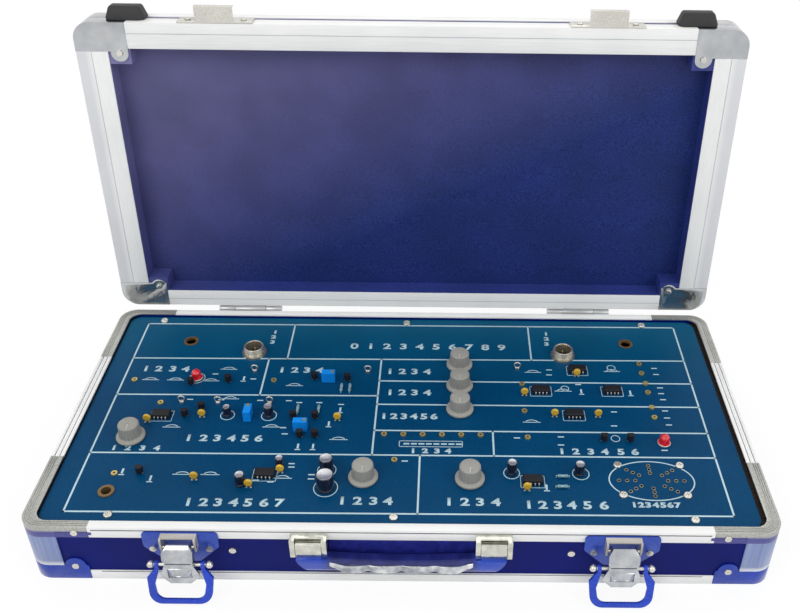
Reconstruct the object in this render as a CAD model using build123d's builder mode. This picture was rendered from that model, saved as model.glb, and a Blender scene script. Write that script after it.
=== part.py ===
from build123d import *
import math
import os

os.makedirs("parts", exist_ok=True)

# The origin is at the middle of the case's underside. +X is right, +Y goes back to the hinges, +Z is up.

# Case base
case_width = 460
case_depth = 224
case_height = 46
corner_radius = 12
lip_metal = 1
flange_metal = 1.2
wall_thickness = 5
bottom_thickness = 4
rim_lip_height = 8.5
foot_lip_height = 7.5
foot_flange_width = 9
side_rim_width = 8.2
front_rim_width = 5.8
cap_front_reach = 42
cap_side_reach = 60
cap_inner_radius = 8
rim_groove_pitch = 1.4
rim_groove_width = 0.6
rim_groove_depth = 0.4
ball_reach = 37
ball_height = 12
ball_tab_distance = 29
ball_tab_radius = 6.5
post_reach = 22

# Rivet heads
rivet_radius = 2.2
rivet_height = 1.1
rivet_crown = 0.5
strap_rivet_distance = 34
latch_stud_x = 103
latch_stud_height = 26.7

# Training panel
panel_thickness = 1.6
panel_recess = 2.5
panel_gap_left = 0.6
panel_gap_right = 2.6
panel_gap_depth = 0.8
panel_corner_radius = 8
bearer_width = 10
bearer_height = 9
bearer_gap = 1
hexagon_sides = 6
tolerance = 0.01
screw_head_radius = 2.8
screw_head_height = 1.7
screw_shank_radius = 1.5
screw_clearance = 0.1
screw_length = 7
board_screw_back_x = (-195, -5.5, 178.5)
board_screw_front_x = (-179, -5.5, 178.5)
board_screw_inset = 2.4

# Controls and sockets on the panel
knob_places = {
    "knob_1": (-184.5, -31),
    "knob_2": (-26.5, -66.5),
    "knob_3": (35.5, 48.5),
    "knob_4": (35.5, 24.5),
    "knob_5": (35.5, -0.5),
    "knob_6": (41.5, -67),
}
knob_skirt_radius = 9.5
knob_skirt_height = 2.4
knob_cap_radius = 7.3
knob_height = 12.4
knob_lift = 0.6
knob_flare = 0.5
knob_crown = 0.8
knob_flutes = 18
knob_flute_radius = 0.55
knob_hollow_depth = 3.4
knob_pointer_width = 1
knob_pointer_depth = 0.5
spindle_radius = 3
spindle_engagement = 6
spindle_fit = 0.02
turning_clearance = 0.05
bushing_radius = 3.5
bushing_clearance = 0.1
pot_nut_width = 8.5
pot_nut_height = 2
pot_body_radius = 8.2
pot_body_depth = 9
socket_places = ((-118, 61), (113, 61))
socket_radius = 7.2
socket_bore_radius = 5.9
socket_height = 6.5
socket_bore_depth = 8
socket_flange_radius = 9
socket_flange_height = 1.6
socket_tail = 12
socket_nut_width = 20
socket_nut_height = 2.5
eyelet_places = ((-168.5, 74.5), (162.5, 76.5))
eyelet_radius = 5
eyelet_bore_radius = 3.8
eyelet_rim = 0.5
jack_place = (-186, -80.5)
jack_radius = 4.6
jack_bore_radius = 3.2
jack_height = 1
jack_depth = 10

# Parts on the board: middle of each, seen from above
lamp_places = ((-154.5, 31), (172, -32))
lamp_radius = 3.4
lamp_collar = 0.7
lamp_collar_height = 1.2
lamp_height = 7.5
lamp_flat = 0.2
chip_places = (
    (-169.5, -10),
    (-89.5, -65),
    (81.5, -68.5),
    (122, 43.5),
    (93.5, 20),
    (144.5, 20.5),
    (114.5, -5.5),
)
chip_length = 12.5
chip_width = 6.4
chip_height = 3.4
chip_lift = 0.6
chip_leg_pitch = 2.54
chip_leg_width = 0.7
chip_leg_spread = 0.5
chip_legs_a_side = 4
chip_chamfer = 0.4
chip_notch_radius = 0.9
can_places = (
    (-124.5, -8.5, 2.7, 8),
    (-96, -8.5, 3.2, 9),
    (-103.5, -73, 3.2, 9),
    (-81, -57, 2.7, 8),
    (-50.5, -60, 4.4, 11),
    (-49.5, -75.5, 5.5, 12),
    (68.5, -61, 3.2, 10),
    (112, -61, 3.2, 9),
)
can_bead_depth = 0.3
can_bead_height = 1.2
trimmer_places = {
    "trimmer_screw_1": (-59, 30, 0),
    "trimmer_screw_2": (-110, -10, 90),
    "trimmer_screw_3": (-72.5, -21.5, 0),
}
trimmer_length = 9.5
trimmer_width = 5
trimmer_height = 8
trimmer_screw_offset = 3
trimmer_screw_radius = 1.1
trimmer_screw_proud = 0.8
trimmer_screw_depth = 2.5
trimmer_slot = 0.4
terminal_places = ((-114, 39.5), (-31.5, 40), (-159, 4.5), (-133.5, 4), (-97.5, 4.5), (78, 45.5))
terminal_ring_radius = 2.3
terminal_wire_radius = 0.5
terminal_foot_radius = 1.6
terminal_foot_height = 1
disc_places = (
    (-177.5, -16),
    (-141.5, -10.5),
    (-80, -62.5),
    (121, 37.5),
    (81.5, 15.5),
    (101, -6.5),
    (77.5, -76),
    (-98, -75.5),
    (-48.5, -12.5),
    (131, -6.5),
    (-133.5, -69.5),
)
disc_radius = 2.6
disc_thickness = 2
disc_lift = 1.4
small_transistor_places = (
    (-157, 24),
    (-131, 27.5),
    (-69.5, 31.5),
    (-45.5, 30),
    (-143.5, -2.5),
    (-79, -10.5),
    (-64, -10.5),
    (-72, -29),
    (-62, -29),
    (132, -30),
    (149.5, -30),
    (-153.5, -9.5),
    (-169.5, -64),
)
transistor_radius = 2.4
transistor_flat = 1
transistor_body = 4.6
transistor_lift = 1.4
lead_radius = 0.3
lead_spacing = 2.54
resistor_places = (
    (100, -73.5, 0),
    (101, -64.5, 0),
    (-49, 20.5, 90),
    (-43, 20.5, 90),
    (-77, -3, 90),
    (-62.5, -3, 90),
)
resistor_body_length = 6
resistor_body_radius = 1.1
resistor_waist_radius = 0.85
resistor_lead_span = 9
resistor_foot_radius = 0.4
resistor_lift = 0.3
pad_places = (
    (-198.5, 28),
    (-98.5, 29),
    (-173.5, 3.5),
    (169, 52),
    (169, 41),
    (80.5, 27.5),
    (170, 29.5),
    (170, 19.5),
    (80.5, -1.5),
    (170, 3.5),
    (170, -7),
    (-7.5, -50.5),
    (81, -28),
    (-185.5, -65),
)
power_pad_first = -15.7
power_pad_pitch = 13
power_pad_count = 6
power_pad_y = -26.3
pad_radius = 2
pad_bore_radius = 0.9
pad_height = 1.1
speaker_place = (157.8, -66.5)
speaker_half_width = 26.2
speaker_half_depth = 16.6
speaker_flange_metal = 1
speaker_basket_depth = 13
speaker_magnet_radius = 13
speaker_magnet_height = 7
speaker_corner_radius = 6
speaker_rim = 2
speaker_wall = 0.8
cone_gap = 1.1
cone_throat_radius = 6
speaker_screw_x = 20.2
speaker_screw_y = 13.1
sound_hole_radius = 1
sound_hole_arms = 8
sound_holes_an_arm = 3

# Lid, measured from the hinge line: up the lid, and out of its rim
lid_open_angle = 93
hinge_offset = 2.75
lid_gap = 0.3
lid_height = 24
lid_side_width = 22
lid_front_width = 18
lid_back_width = 13
lid_recess_depth = 16
lid_corner_reach = 36
lid_corner_drop = 20
lid_corner_depth = 11.7
lid_tab_in = 30
lid_front_tab_down = 21
lid_back_tab_up = 17
lid_tab_radius = 6
lid_block_width = 15
lid_block_length = 11
foot_length = 28
foot_top_length = 21
foot_width = 16
foot_height = 9
foot_corner_radius = 5
board_seam = 0.3
foot_x = 195

# Hinges
hinge_x = 130
hinge_width = 49
knuckle_radius = 2.5
knuckle_gap = 0.3
hinge_pin_radius = 1.2
hinge_leaf_metal = 1
hinge_leaf_drop = 15
stop_lug_width = 16
stop_lug_reach = 5
stop_gap = 0.15
stop_lug_drop = 4.2

# Latches
latch_x = 133
latch_plate_width = 45.6
latch_plate_top = 43.6
latch_plate_tip = 18.8
latch_tip_width = 20
latch_plate_metal = 1.2
latch_plate_corner = 3
latch_shoulder_drop = 12
latch_rivet_x = 17
latch_rivet_height = 30.4
latch_box_half_width = 10.8
latch_box_depth = 7
latch_box_low = 33.3
latch_roof_reach = 5.4
latch_ear_metal = 1.2
latch_pivot_out = 5.5
latch_pivot_height = 36.5
latch_pivot_radius = 1
lever_half_width = 9.3
lever_tongue_half_width = 11.4
lever_waist_half_width = 8.4
lever_metal = 1.2
lever_cheek_half_width = 8
lever_top = 39.2
lever_low = 12.6
lever_front = 11.4
lever_flare_height = 17
lever_crown_half_width = 6
cheek_margin = 2.6
lever_crown_reach = 4.7
lever_waist_height = 29
axle_out = 9
axle_height = 25
axle_radius = 1.1
axle_ball_radius = 2.3
axle_half_length = 17.6
bail_lean = 21.5
bail_length = 25.8
bail_half_width = 20
bail_eye_half_spacing = 13.9
bail_eye_thickness = 2.4
bail_band = 3.2
bail_arm_band = 4.6
bail_metal = 2
bail_eye_radius = 2.2
bail_corner_radius = 8
bail_taper = 1.5
keeper_width = 26
keeper_plate_width = 51
keeper_plate_height = 11
keeper_metal = 1.2
keeper_shelf_reach = 11.6
keeper_lip = 2.4
keeper_rivet_x = 19

# Carrying handle
handle_x = 55.5
handle_bracket_width = 22
handle_bracket_low = 30
handle_bracket_high = 44
handle_cheek = 3
handle_plate_metal = 1.2
handle_pivot_out = 4.4
handle_pivot_height = 37.6
handle_pivot_radius = 1.2
handle_ferrule_radius = 2.9
handle_ferrule_gap = 0.3
handle_half_width = 66.5
handle_grip_top = 28.2
handle_neck_drop = 0.8
handle_grip_low = 20.2
handle_grip_back = 1.4
handle_grip_front = 9.4
handle_wave_count = 4
handle_wave_depth = 0.9
handle_wave_half = 40
handle_grip_round = 3.2
handle_shoulder = 3
handle_shoulder_height = 24
handle_plate_half_width = 44
handle_plate_low = 14
handle_rivet_x = 24
handle_rivet_height = 30
handle_rivet_proud = 0.8

# Sizes that follow from the ones above
wall_width = case_width - 2 * lip_metal
wall_depth = case_depth - 2 * lip_metal
wall_radius = corner_radius - lip_metal
inner_width = wall_width - 2 * wall_thickness
inner_depth = wall_depth - 2 * wall_thickness
wall_top = case_height - flange_metal
wall_height = wall_top - bottom_thickness
front_face = -case_depth / 2
rim_opening_width = case_width - 2 * side_rim_width
rim_opening_depth = case_depth - 2 * front_rim_width
panel_top = case_height - panel_recess
panel_bottom = panel_top - panel_thickness
panel_width = rim_opening_width - panel_gap_left - panel_gap_right
panel_depth = rim_opening_depth - 2 * panel_gap_depth
panel_x = (panel_gap_left - panel_gap_right) / 2
board_screw_y = inner_depth / 2 - bearer_width / 2 - board_screw_inset / 2
board_screws = [(x, board_screw_y) for x in board_screw_back_x]
board_screws += [(x, -board_screw_y) for x in board_screw_front_x]
speaker_x, speaker_y = speaker_place
speaker_screws = [
    (speaker_x + across * speaker_screw_x, speaker_y + along * speaker_screw_y)
    for across in (-1, 1)
    for along in (-1, 1)
]
panel_face = Plane.XY.offset(panel_top)
panel_back = Plane.XY.offset(panel_bottom)


# Case base: bottom board and walls
with BuildPart() as base_bottom:
    with BuildSketch():
        RectangleRounded(wall_width, wall_depth, wall_radius)
    extrude(amount=bottom_thickness)
    with BuildSketch():
        Rectangle(case_width, case_depth)
        RectangleRounded(
            case_width - 2 * foot_flange_width,
            case_depth - 2 * foot_flange_width,
            corner_radius - foot_flange_width,
            mode=Mode.SUBTRACT,
        )
    extrude(amount=lip_metal, mode=Mode.SUBTRACT)
base_bottom.part.label = "base_bottom"
export_step(base_bottom.part, "parts/base_bottom.step")

with BuildPart() as base_front_wall:
    with BuildSketch(Plane.XY.offset(bottom_thickness)):
        RectangleRounded(wall_width, wall_depth, wall_radius)
        Rectangle(inner_width, inner_depth, mode=Mode.SUBTRACT)
        with Locations((0, wall_thickness)):
            Rectangle(wall_width, wall_depth, mode=Mode.SUBTRACT)
    extrude(amount=wall_height)
base_front_wall.part.label = "base_front_wall"
export_step(base_front_wall.part, "parts/base_front_wall.step")

with BuildPart() as base_back_wall:
    mirror(base_front_wall.part, about=Plane.XZ)
base_back_wall.part.label = "base_back_wall"
export_step(base_back_wall.part, "parts/base_back_wall.step")

with BuildPart() as base_side_walls:
    with BuildSketch(Plane.XY.offset(bottom_thickness)):
        RectangleRounded(wall_width, wall_depth, wall_radius)
        Rectangle(inner_width, wall_depth, mode=Mode.SUBTRACT)
        with GridLocations(0, 2 * wall_depth - 2 * wall_thickness, 1, 2):
            Rectangle(wall_width, wall_depth, mode=Mode.SUBTRACT)
    extrude(amount=wall_height)
base_side_walls.part.label = "base_side_walls"
export_step(base_side_walls.part, "parts/base_side_walls.step")

# Rim rails run between the corner caps, foot rails between the ball corners
with BuildPart() as base_rim_rails:
    with BuildSketch(Plane.XY.offset(case_height - rim_lip_height)):
        Rectangle(case_width, case_depth)
        Rectangle(wall_width, wall_depth, mode=Mode.SUBTRACT)
        with GridLocations(case_width, case_depth, 2, 2):
            Rectangle(2 * cap_front_reach, 2 * cap_side_reach, mode=Mode.SUBTRACT)
    extrude(amount=rim_lip_height)
    with BuildSketch(Plane.XY.offset(wall_top)):
        Rectangle(case_width, case_depth)
        Rectangle(rim_opening_width, rim_opening_depth, mode=Mode.SUBTRACT)
        with GridLocations(case_width, case_depth, 2, 2):
            Rectangle(2 * cap_front_reach, 2 * cap_side_reach, mode=Mode.SUBTRACT)
    extrude(amount=flange_metal)
    with BuildSketch(Plane.XY.offset(case_height)):
        for groove in (1, 2, 3):
            inset = groove * rim_groove_pitch
            Rectangle(case_width - 2 * inset, case_depth)
            Rectangle(case_width - 2 * inset - 2 * rim_groove_width, case_depth, mode=Mode.SUBTRACT)
        Rectangle(case_width - 8 * side_rim_width, case_depth, mode=Mode.SUBTRACT)
    extrude(amount=-rim_groove_depth, mode=Mode.SUBTRACT)
base_rim_rails.part.label = "base_rim_rails"
export_step(base_rim_rails.part, "parts/base_rim_rails.step")

with BuildPart() as base_foot_rails:
    with BuildSketch():
        Rectangle(case_width, case_depth)
        Rectangle(wall_width, wall_depth, mode=Mode.SUBTRACT)
        with GridLocations(case_width, case_depth, 2, 2):
            Rectangle(2 * ball_reach, 2 * ball_reach, mode=Mode.SUBTRACT)
    extrude(amount=foot_lip_height)
    with BuildSketch():
        Rectangle(case_width, case_depth)
        Rectangle(
            case_width - 2 * foot_flange_width, case_depth - 2 * foot_flange_width, mode=Mode.SUBTRACT
        )
        with GridLocations(case_width, case_depth, 2, 2):
            Rectangle(2 * ball_reach, 2 * ball_reach, mode=Mode.SUBTRACT)
    extrude(amount=lip_metal)
base_foot_rails.part.label = "base_foot_rails"
export_step(base_foot_rails.part, "parts/base_foot_rails.step")

# Corner pieces are drawn whole round the case and cut down to their reach at each corner
with BuildPart() as base_rim_caps:
    with BuildSketch(Plane.XY.offset(case_height - rim_lip_height)):
        RectangleRounded(case_width, case_depth, corner_radius)
        RectangleRounded(wall_width, wall_depth, wall_radius, mode=Mode.SUBTRACT)
    extrude(amount=rim_lip_height)
    with BuildSketch(Plane.XY.offset(wall_top)):
        RectangleRounded(case_width, case_depth, corner_radius)
        RectangleRounded(rim_opening_width, rim_opening_depth, cap_inner_radius, mode=Mode.SUBTRACT)
    extrude(amount=flange_metal)
    for groove in (1, 2, 3):
        inset = groove * rim_groove_pitch
        inner = inset + rim_groove_width
        with BuildSketch(Plane.XY.offset(case_height)):
            RectangleRounded(case_width - 2 * inset, case_depth - 2 * inset, corner_radius - inset)
            RectangleRounded(
                case_width - 2 * inner, case_depth - 2 * inner, corner_radius - inner, mode=Mode.SUBTRACT
            )
        extrude(amount=-rim_groove_depth, mode=Mode.SUBTRACT)
    with BuildSketch():
        Rectangle(case_width - 2 * cap_front_reach, 2 * case_depth)
        Rectangle(2 * case_width, case_depth - 2 * cap_side_reach)
    extrude(amount=case_height, mode=Mode.SUBTRACT)
base_rim_caps.part.label = "base_rim_caps"
export_step(base_rim_caps.part, "parts/base_rim_caps.step")

with BuildPart() as base_corner_posts:
    with BuildSketch(Plane.XY.offset(ball_height)):
        RectangleRounded(case_width, case_depth, corner_radius)
        RectangleRounded(wall_width, wall_depth, wall_radius, mode=Mode.SUBTRACT)
        Rectangle(case_width - 2 * post_reach, 2 * case_depth, mode=Mode.SUBTRACT)
        Rectangle(2 * case_width, case_depth - 2 * post_reach, mode=Mode.SUBTRACT)
    extrude(amount=case_height - rim_lip_height - ball_height)
base_corner_posts.part.label = "base_corner_posts"
export_step(base_corner_posts.part, "parts/base_corner_posts.step")

with BuildPart() as base_corner_balls:
    with BuildSketch():
        RectangleRounded(case_width, case_depth, corner_radius)
        RectangleRounded(wall_width, wall_depth, wall_radius, mode=Mode.SUBTRACT)
    extrude(amount=ball_height)
    with BuildSketch():
        RectangleRounded(case_width, case_depth, corner_radius)
        RectangleRounded(
            case_width - 2 * foot_flange_width,
            case_depth - 2 * foot_flange_width,
            corner_radius - foot_flange_width,
            mode=Mode.SUBTRACT,
        )
    extrude(amount=lip_metal)
    with BuildSketch():
        Rectangle(case_width - 2 * ball_reach, 2 * case_depth)
        Rectangle(2 * case_width, case_depth - 2 * ball_reach)
    extrude(amount=ball_height, mode=Mode.SUBTRACT)
    for side in (-1, 1):
        with BuildSketch(Plane.XZ.offset(side * case_depth / 2)):
            with GridLocations(case_width - 2 * ball_tab_distance, 0, 2, 1):
                with Locations((0, ball_height)):
                    Circle(ball_tab_radius)
        extrude(amount=-side * lip_metal)
        with BuildSketch(Plane.YZ.offset(side * case_width / 2)):
            with GridLocations(case_depth - 2 * ball_tab_distance, 0, 2, 1):
                with Locations((0, ball_height)):
                    Circle(ball_tab_radius)
        extrude(amount=-side * lip_metal)
base_corner_balls.part.label = "base_corner_balls"
export_step(base_corner_balls.part, "parts/base_corner_balls.step")

# Domed rivet heads on the straps, the ball tabs and beside the latches
strap_rivet_height = case_height - rim_lip_height / 2
front_rivets = [(side * (case_width / 2 - strap_rivet_distance), strap_rivet_height) for side in (-1, 1)]
front_rivets += [(side * (case_width / 2 - ball_tab_distance), ball_height) for side in (-1, 1)]
side_rivets = [(side * (case_depth / 2 - strap_rivet_distance), strap_rivet_height) for side in (-1, 1)]
side_rivets += [(side * (case_depth / 2 - ball_tab_distance), ball_height) for side in (-1, 1)]
with BuildPart() as base_rivets:
    for side in (-1, 1):
        with BuildSketch(Plane.XZ.offset(side * case_depth / 2)):
            with Locations(*front_rivets):
                Circle(rivet_radius)
        extrude(amount=side * rivet_height)
        with BuildSketch(Plane.YZ.offset(side * case_width / 2)):
            with Locations(*side_rivets):
                Circle(rivet_radius)
        extrude(amount=side * rivet_height)
    with BuildSketch(Plane.XZ.offset(wall_depth / 2)):
        with GridLocations(2 * latch_stud_x, 0, 2, 1):
            with Locations((0, latch_stud_height)):
                Circle(rivet_radius)
    extrude(amount=rivet_height)
    outer_rims = [edge for edge in base_rivets.edges().filter_by(GeomType.CIRCLE)]
    front_rims = [e for e in outer_rims if abs(abs(e.center().Y) - case_depth / 2 - rivet_height) < tolerance]
    side_rims = [e for e in outer_rims if abs(abs(e.center().X) - case_width / 2 - rivet_height) < tolerance]
    fillet(front_rims + side_rims, rivet_crown)
base_rivets.part.label = "base_rivets"
export_step(base_rivets.part, "parts/base_rivets.step")


# Training panel and the bearers that it is screwed down on
def standing(place):
    """Plane that stands upright on the panel at a place, facing the front."""
    return Plane(origin=(place[0], place[1], panel_top), x_dir=(1, 0, 0), z_dir=(0, -1, 0))


def plumb(place):
    """Upright axis through a place on the panel."""
    return Axis((place[0], place[1], 0), (0, 0, 1))


bearer_plane = Plane.XY.offset(panel_bottom - bearer_height)
with BuildPart() as panel_bearers:
    with BuildSketch(bearer_plane):
        with GridLocations(0, inner_depth - bearer_width, 1, 2):
            Rectangle(inner_width, bearer_width)
        with GridLocations(inner_width - bearer_width, 0, 2, 1):
            Rectangle(bearer_width, inner_depth - 2 * bearer_width - bearer_gap)
    extrude(amount=bearer_height)
    with BuildSketch(panel_back):
        with Locations(*board_screws):
            Circle(screw_shank_radius + screw_clearance)
    extrude(amount=-screw_length, mode=Mode.SUBTRACT)
panel_bearers.part.label = "panel_bearers"
export_step(panel_bearers.part, "parts/panel_bearers.step")

with BuildPart() as circuit_panel:
    with BuildSketch(panel_back):
        with Locations((panel_x, 0)):
            RectangleRounded(panel_width, panel_depth, panel_corner_radius)
        with Locations(*board_screws, *speaker_screws):
            Circle(screw_shank_radius + screw_clearance, mode=Mode.SUBTRACT)
        with Locations(*knob_places.values()):
            Circle(bushing_radius + bushing_clearance, mode=Mode.SUBTRACT)
        with Locations(*socket_places):
            Circle(socket_radius + bushing_clearance, mode=Mode.SUBTRACT)
        with Locations(*eyelet_places):
            Circle(eyelet_radius, mode=Mode.SUBTRACT)
        with Locations(jack_place):
            Circle(jack_radius, mode=Mode.SUBTRACT)
        for arm in range(sound_hole_arms):
            turn = 2 * math.pi * arm / sound_hole_arms
            for step in range(1, sound_holes_an_arm + 1):
                share = (step + 1) / (sound_holes_an_arm + 2)
                across = speaker_half_width * share * math.cos(turn)
                along = speaker_half_depth * share * math.sin(turn)
                with Locations((speaker_x + across, speaker_y + along)):
                    Circle(sound_hole_radius, mode=Mode.SUBTRACT)
    extrude(amount=panel_thickness)
circuit_panel.part.label = "circuit_panel"
export_step(circuit_panel.part, "parts/circuit_panel.step")

with BuildPart() as panel_screws:
    with BuildSketch(panel_face):
        with Locations(*board_screws, *speaker_screws):
            Circle(screw_head_radius)
    extrude(amount=screw_head_height)
    head_rims = panel_screws.edges().group_by(Axis.Z)[-1]
    fillet(head_rims, screw_head_height / 2)
    with BuildSketch(panel_face.offset(screw_head_height)):
        with Locations(*board_screws, *speaker_screws):
            Rectangle(screw_head_radius, screw_head_radius / 4)
            Rectangle(screw_head_radius / 4, screw_head_radius)
    extrude(amount=-screw_head_height / 3, mode=Mode.SUBTRACT)
    with BuildSketch(panel_face):
        with Locations(*board_screws, *speaker_screws):
            Circle(screw_shank_radius)
    extrude(amount=-screw_length)
panel_screws.part.label = "panel_screws"
export_step(panel_screws.part, "parts/panel_screws.step")

# Round threaded sockets, held by a nut under the panel
with BuildPart() as panel_sockets:
    with BuildSketch(panel_face):
        with Locations(*socket_places):
            Circle(socket_flange_radius)
    extrude(amount=socket_flange_height)
    with BuildSketch(panel_back.offset(-socket_tail)):
        with Locations(*socket_places):
            Circle(socket_radius)
    extrude(amount=socket_tail + panel_thickness + socket_height)
    with BuildSketch(panel_face.offset(socket_height)):
        with Locations(*socket_places):
            Circle(socket_bore_radius)
    extrude(amount=-socket_bore_depth, mode=Mode.SUBTRACT)
panel_sockets.part.label = "panel_sockets"
export_step(panel_sockets.part, "parts/panel_sockets.step")

with BuildPart() as socket_nuts:
    with BuildSketch(panel_back):
        with Locations(*socket_places):
            RegularPolygon(socket_nut_width / 2, hexagon_sides, major_radius=False)
            Circle(socket_radius + bushing_clearance, mode=Mode.SUBTRACT)
    extrude(amount=-socket_nut_height)
socket_nuts.part.label = "socket_nuts"
export_step(socket_nuts.part, "parts/socket_nuts.step")

with BuildPart() as panel_eyelets:
    with BuildSketch(panel_back):
        with Locations(*eyelet_places):
            Circle(eyelet_radius)
            Circle(eyelet_bore_radius, mode=Mode.SUBTRACT)
    extrude(amount=panel_thickness + eyelet_rim)
    with BuildSketch(panel_face):
        with Locations(*eyelet_places):
            Circle(eyelet_radius + eyelet_rim)
            Circle(eyelet_bore_radius, mode=Mode.SUBTRACT)
    extrude(amount=eyelet_rim)
    with BuildSketch(panel_back.offset(-jack_depth)):
        with Locations(jack_place):
            Circle(jack_radius)
    extrude(amount=jack_depth + panel_thickness + jack_height)
    with BuildSketch(panel_face):
        with Locations(jack_place):
            Circle(jack_radius + eyelet_rim)
    extrude(amount=jack_height)
    with BuildSketch(panel_face.offset(jack_height)):
        with Locations(jack_place):
            Circle(jack_bore_radius)
    extrude(amount=-jack_depth, mode=Mode.SUBTRACT)
panel_eyelets.part.label = "panel_eyelets"
export_step(panel_eyelets.part, "parts/panel_eyelets.step")

# Potentiometers: body under the panel, bushing and nut through it, spindle and knob on top
bushing_top = pot_nut_height + knob_lift
with BuildPart() as potentiometer_bodies:
    with BuildSketch(panel_back):
        with Locations(*knob_places.values()):
            Circle(pot_body_radius)
    extrude(amount=-pot_body_depth)
    with BuildSketch(panel_back):
        with Locations(*knob_places.values()):
            Circle(bushing_radius)
    extrude(amount=panel_thickness + bushing_top)
    with BuildSketch(panel_face.offset(bushing_top)):
        with Locations(*knob_places.values()):
            Circle(spindle_radius + turning_clearance)
    extrude(amount=-bushing_top - panel_thickness - pot_body_depth, mode=Mode.SUBTRACT)
    with BuildSketch(panel_face):
        with Locations(*knob_places.values()):
            RegularPolygon(pot_nut_width / 2, hexagon_sides, major_radius=False)
            Circle(bushing_radius + bushing_clearance, mode=Mode.SUBTRACT)
    extrude(amount=pot_nut_height)
potentiometer_bodies.part.label = "potentiometer_bodies"
export_step(potentiometer_bodies.part, "parts/potentiometer_bodies.step")

knob_hollow_radius = pot_nut_width / math.sqrt(3) + knob_lift
spindle_bottom = -panel_thickness - pot_body_depth
spindle_top = knob_lift + knob_hollow_depth + spindle_engagement
for knob_name, place in knob_places.items():
    with BuildPart() as knob:
        with BuildSketch(standing(place)):
            with BuildLine():
                Polyline(
                    (0, knob_lift),
                    (knob_skirt_radius, knob_lift),
                    (knob_skirt_radius, knob_lift + knob_skirt_height / 2),
                    (knob_cap_radius, knob_lift + knob_skirt_height),
                    (knob_cap_radius - knob_flare, knob_height - knob_crown),
                    (knob_cap_radius - knob_flare - knob_crown, knob_height),
                    (0, knob_height),
                    close=True,
                )
            make_face()
        revolve(axis=plumb(place))
        with BuildSketch(panel_face.offset(knob_lift)):
            with Locations(place):
                Circle(knob_hollow_radius)
        extrude(amount=knob_hollow_depth, mode=Mode.SUBTRACT)
        with BuildSketch(panel_face.offset(knob_lift)):
            with Locations(place):
                Circle(spindle_radius + spindle_fit)
        extrude(amount=knob_hollow_depth + spindle_engagement + spindle_fit, mode=Mode.SUBTRACT)
        with BuildSketch(panel_face.offset(knob_lift + knob_skirt_height)):
            with Locations(place):
                with PolarLocations(knob_cap_radius, knob_flutes):
                    Circle(knob_flute_radius)
        extrude(amount=knob_height, mode=Mode.SUBTRACT)
        with BuildSketch(panel_face.offset(knob_height)):
            with Locations((place[0], place[1] - knob_cap_radius / 2)):
                Rectangle(knob_pointer_width, knob_cap_radius)
        extrude(amount=-knob_pointer_depth, mode=Mode.SUBTRACT)
        with BuildSketch(panel_face.offset(spindle_bottom)):
            with Locations(place):
                Circle(spindle_radius)
        extrude(amount=spindle_top - spindle_bottom)
    knob.part.label = knob_name
    export_step(knob.part, f"parts/{knob_name}.step")

# Speaker under the panel: flange, basket and magnet in one, and the paper cone inside
speaker_seat = panel_back.offset(-speaker_flange_metal)
with BuildPart() as speaker_frame:
    with BuildSketch(panel_back):
        with Locations(speaker_place):
            RectangleRounded(2 * speaker_half_width, 2 * speaker_half_depth, speaker_corner_radius)
    extrude(amount=-speaker_flange_metal)
    with BuildSketch(speaker_seat):
        with Locations(speaker_place):
            Ellipse(speaker_half_width - speaker_rim, speaker_half_depth - speaker_wall)
    with BuildSketch(speaker_seat.offset(-speaker_basket_depth)):
        with Locations(speaker_place):
            Circle(speaker_magnet_radius)
    loft()
    with BuildSketch(speaker_seat.offset(-speaker_basket_depth)):
        with Locations(speaker_place):
            Circle(speaker_magnet_radius)
    extrude(amount=-speaker_magnet_height)
    with BuildSketch(panel_back):
        with Locations(speaker_place):
            Ellipse(speaker_half_width - speaker_rim - speaker_wall, speaker_half_depth - 2 * speaker_wall)
    with BuildSketch(speaker_seat.offset(speaker_wall - speaker_basket_depth)):
        with Locations(speaker_place):
            Circle(speaker_magnet_radius - 2 * speaker_wall)
    loft(mode=Mode.SUBTRACT)
    with BuildSketch(panel_back):
        with Locations(*speaker_screws):
            Circle(screw_shank_radius + screw_clearance)
    extrude(amount=-speaker_basket_depth, mode=Mode.SUBTRACT)
speaker_frame.part.label = "speaker_frame"
export_step(speaker_frame.part, "parts/speaker_frame.step")

cone_wide = speaker_half_width - speaker_rim - speaker_wall - cone_gap
cone_deep = speaker_half_depth - 2 * speaker_wall - cone_gap
cone_depth = speaker_basket_depth - 2 * speaker_wall
with BuildPart() as speaker_cone:
    with BuildSketch(panel_back.offset(-speaker_wall)):
        with Locations(speaker_place):
            Ellipse(cone_wide, cone_deep)
    with BuildSketch(panel_back.offset(-cone_depth)):
        with Locations(speaker_place):
            Circle(cone_throat_radius)
    loft()
    with BuildSketch(panel_back.offset(-speaker_wall)):
        with Locations(speaker_place):
            Ellipse(cone_wide - 2 * speaker_wall, cone_deep - 2 * speaker_wall)
    with BuildSketch(panel_back.offset(speaker_wall - cone_depth)):
        with Locations(speaker_place):
            Circle(cone_throat_radius - speaker_wall)
    loft(mode=Mode.SUBTRACT)
speaker_cone.part.label = "speaker_cone"
export_step(speaker_cone.part, "parts/speaker_cone.step")

# Signal lamps: collar, body and domed top
with BuildPart() as signal_lamps:
    with BuildSketch(panel_face):
        with Locations(*lamp_places):
            Circle(lamp_radius + lamp_collar)
    extrude(amount=lamp_collar_height)
    with BuildSketch(panel_face):
        with Locations(*lamp_places):
            Circle(lamp_radius)
    extrude(amount=lamp_height)
    fillet(signal_lamps.edges().group_by(Axis.Z)[-1], lamp_radius - lamp_flat)
signal_lamps.part.label = "signal_lamps"
export_step(signal_lamps.part, "parts/signal_lamps.step")

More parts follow.
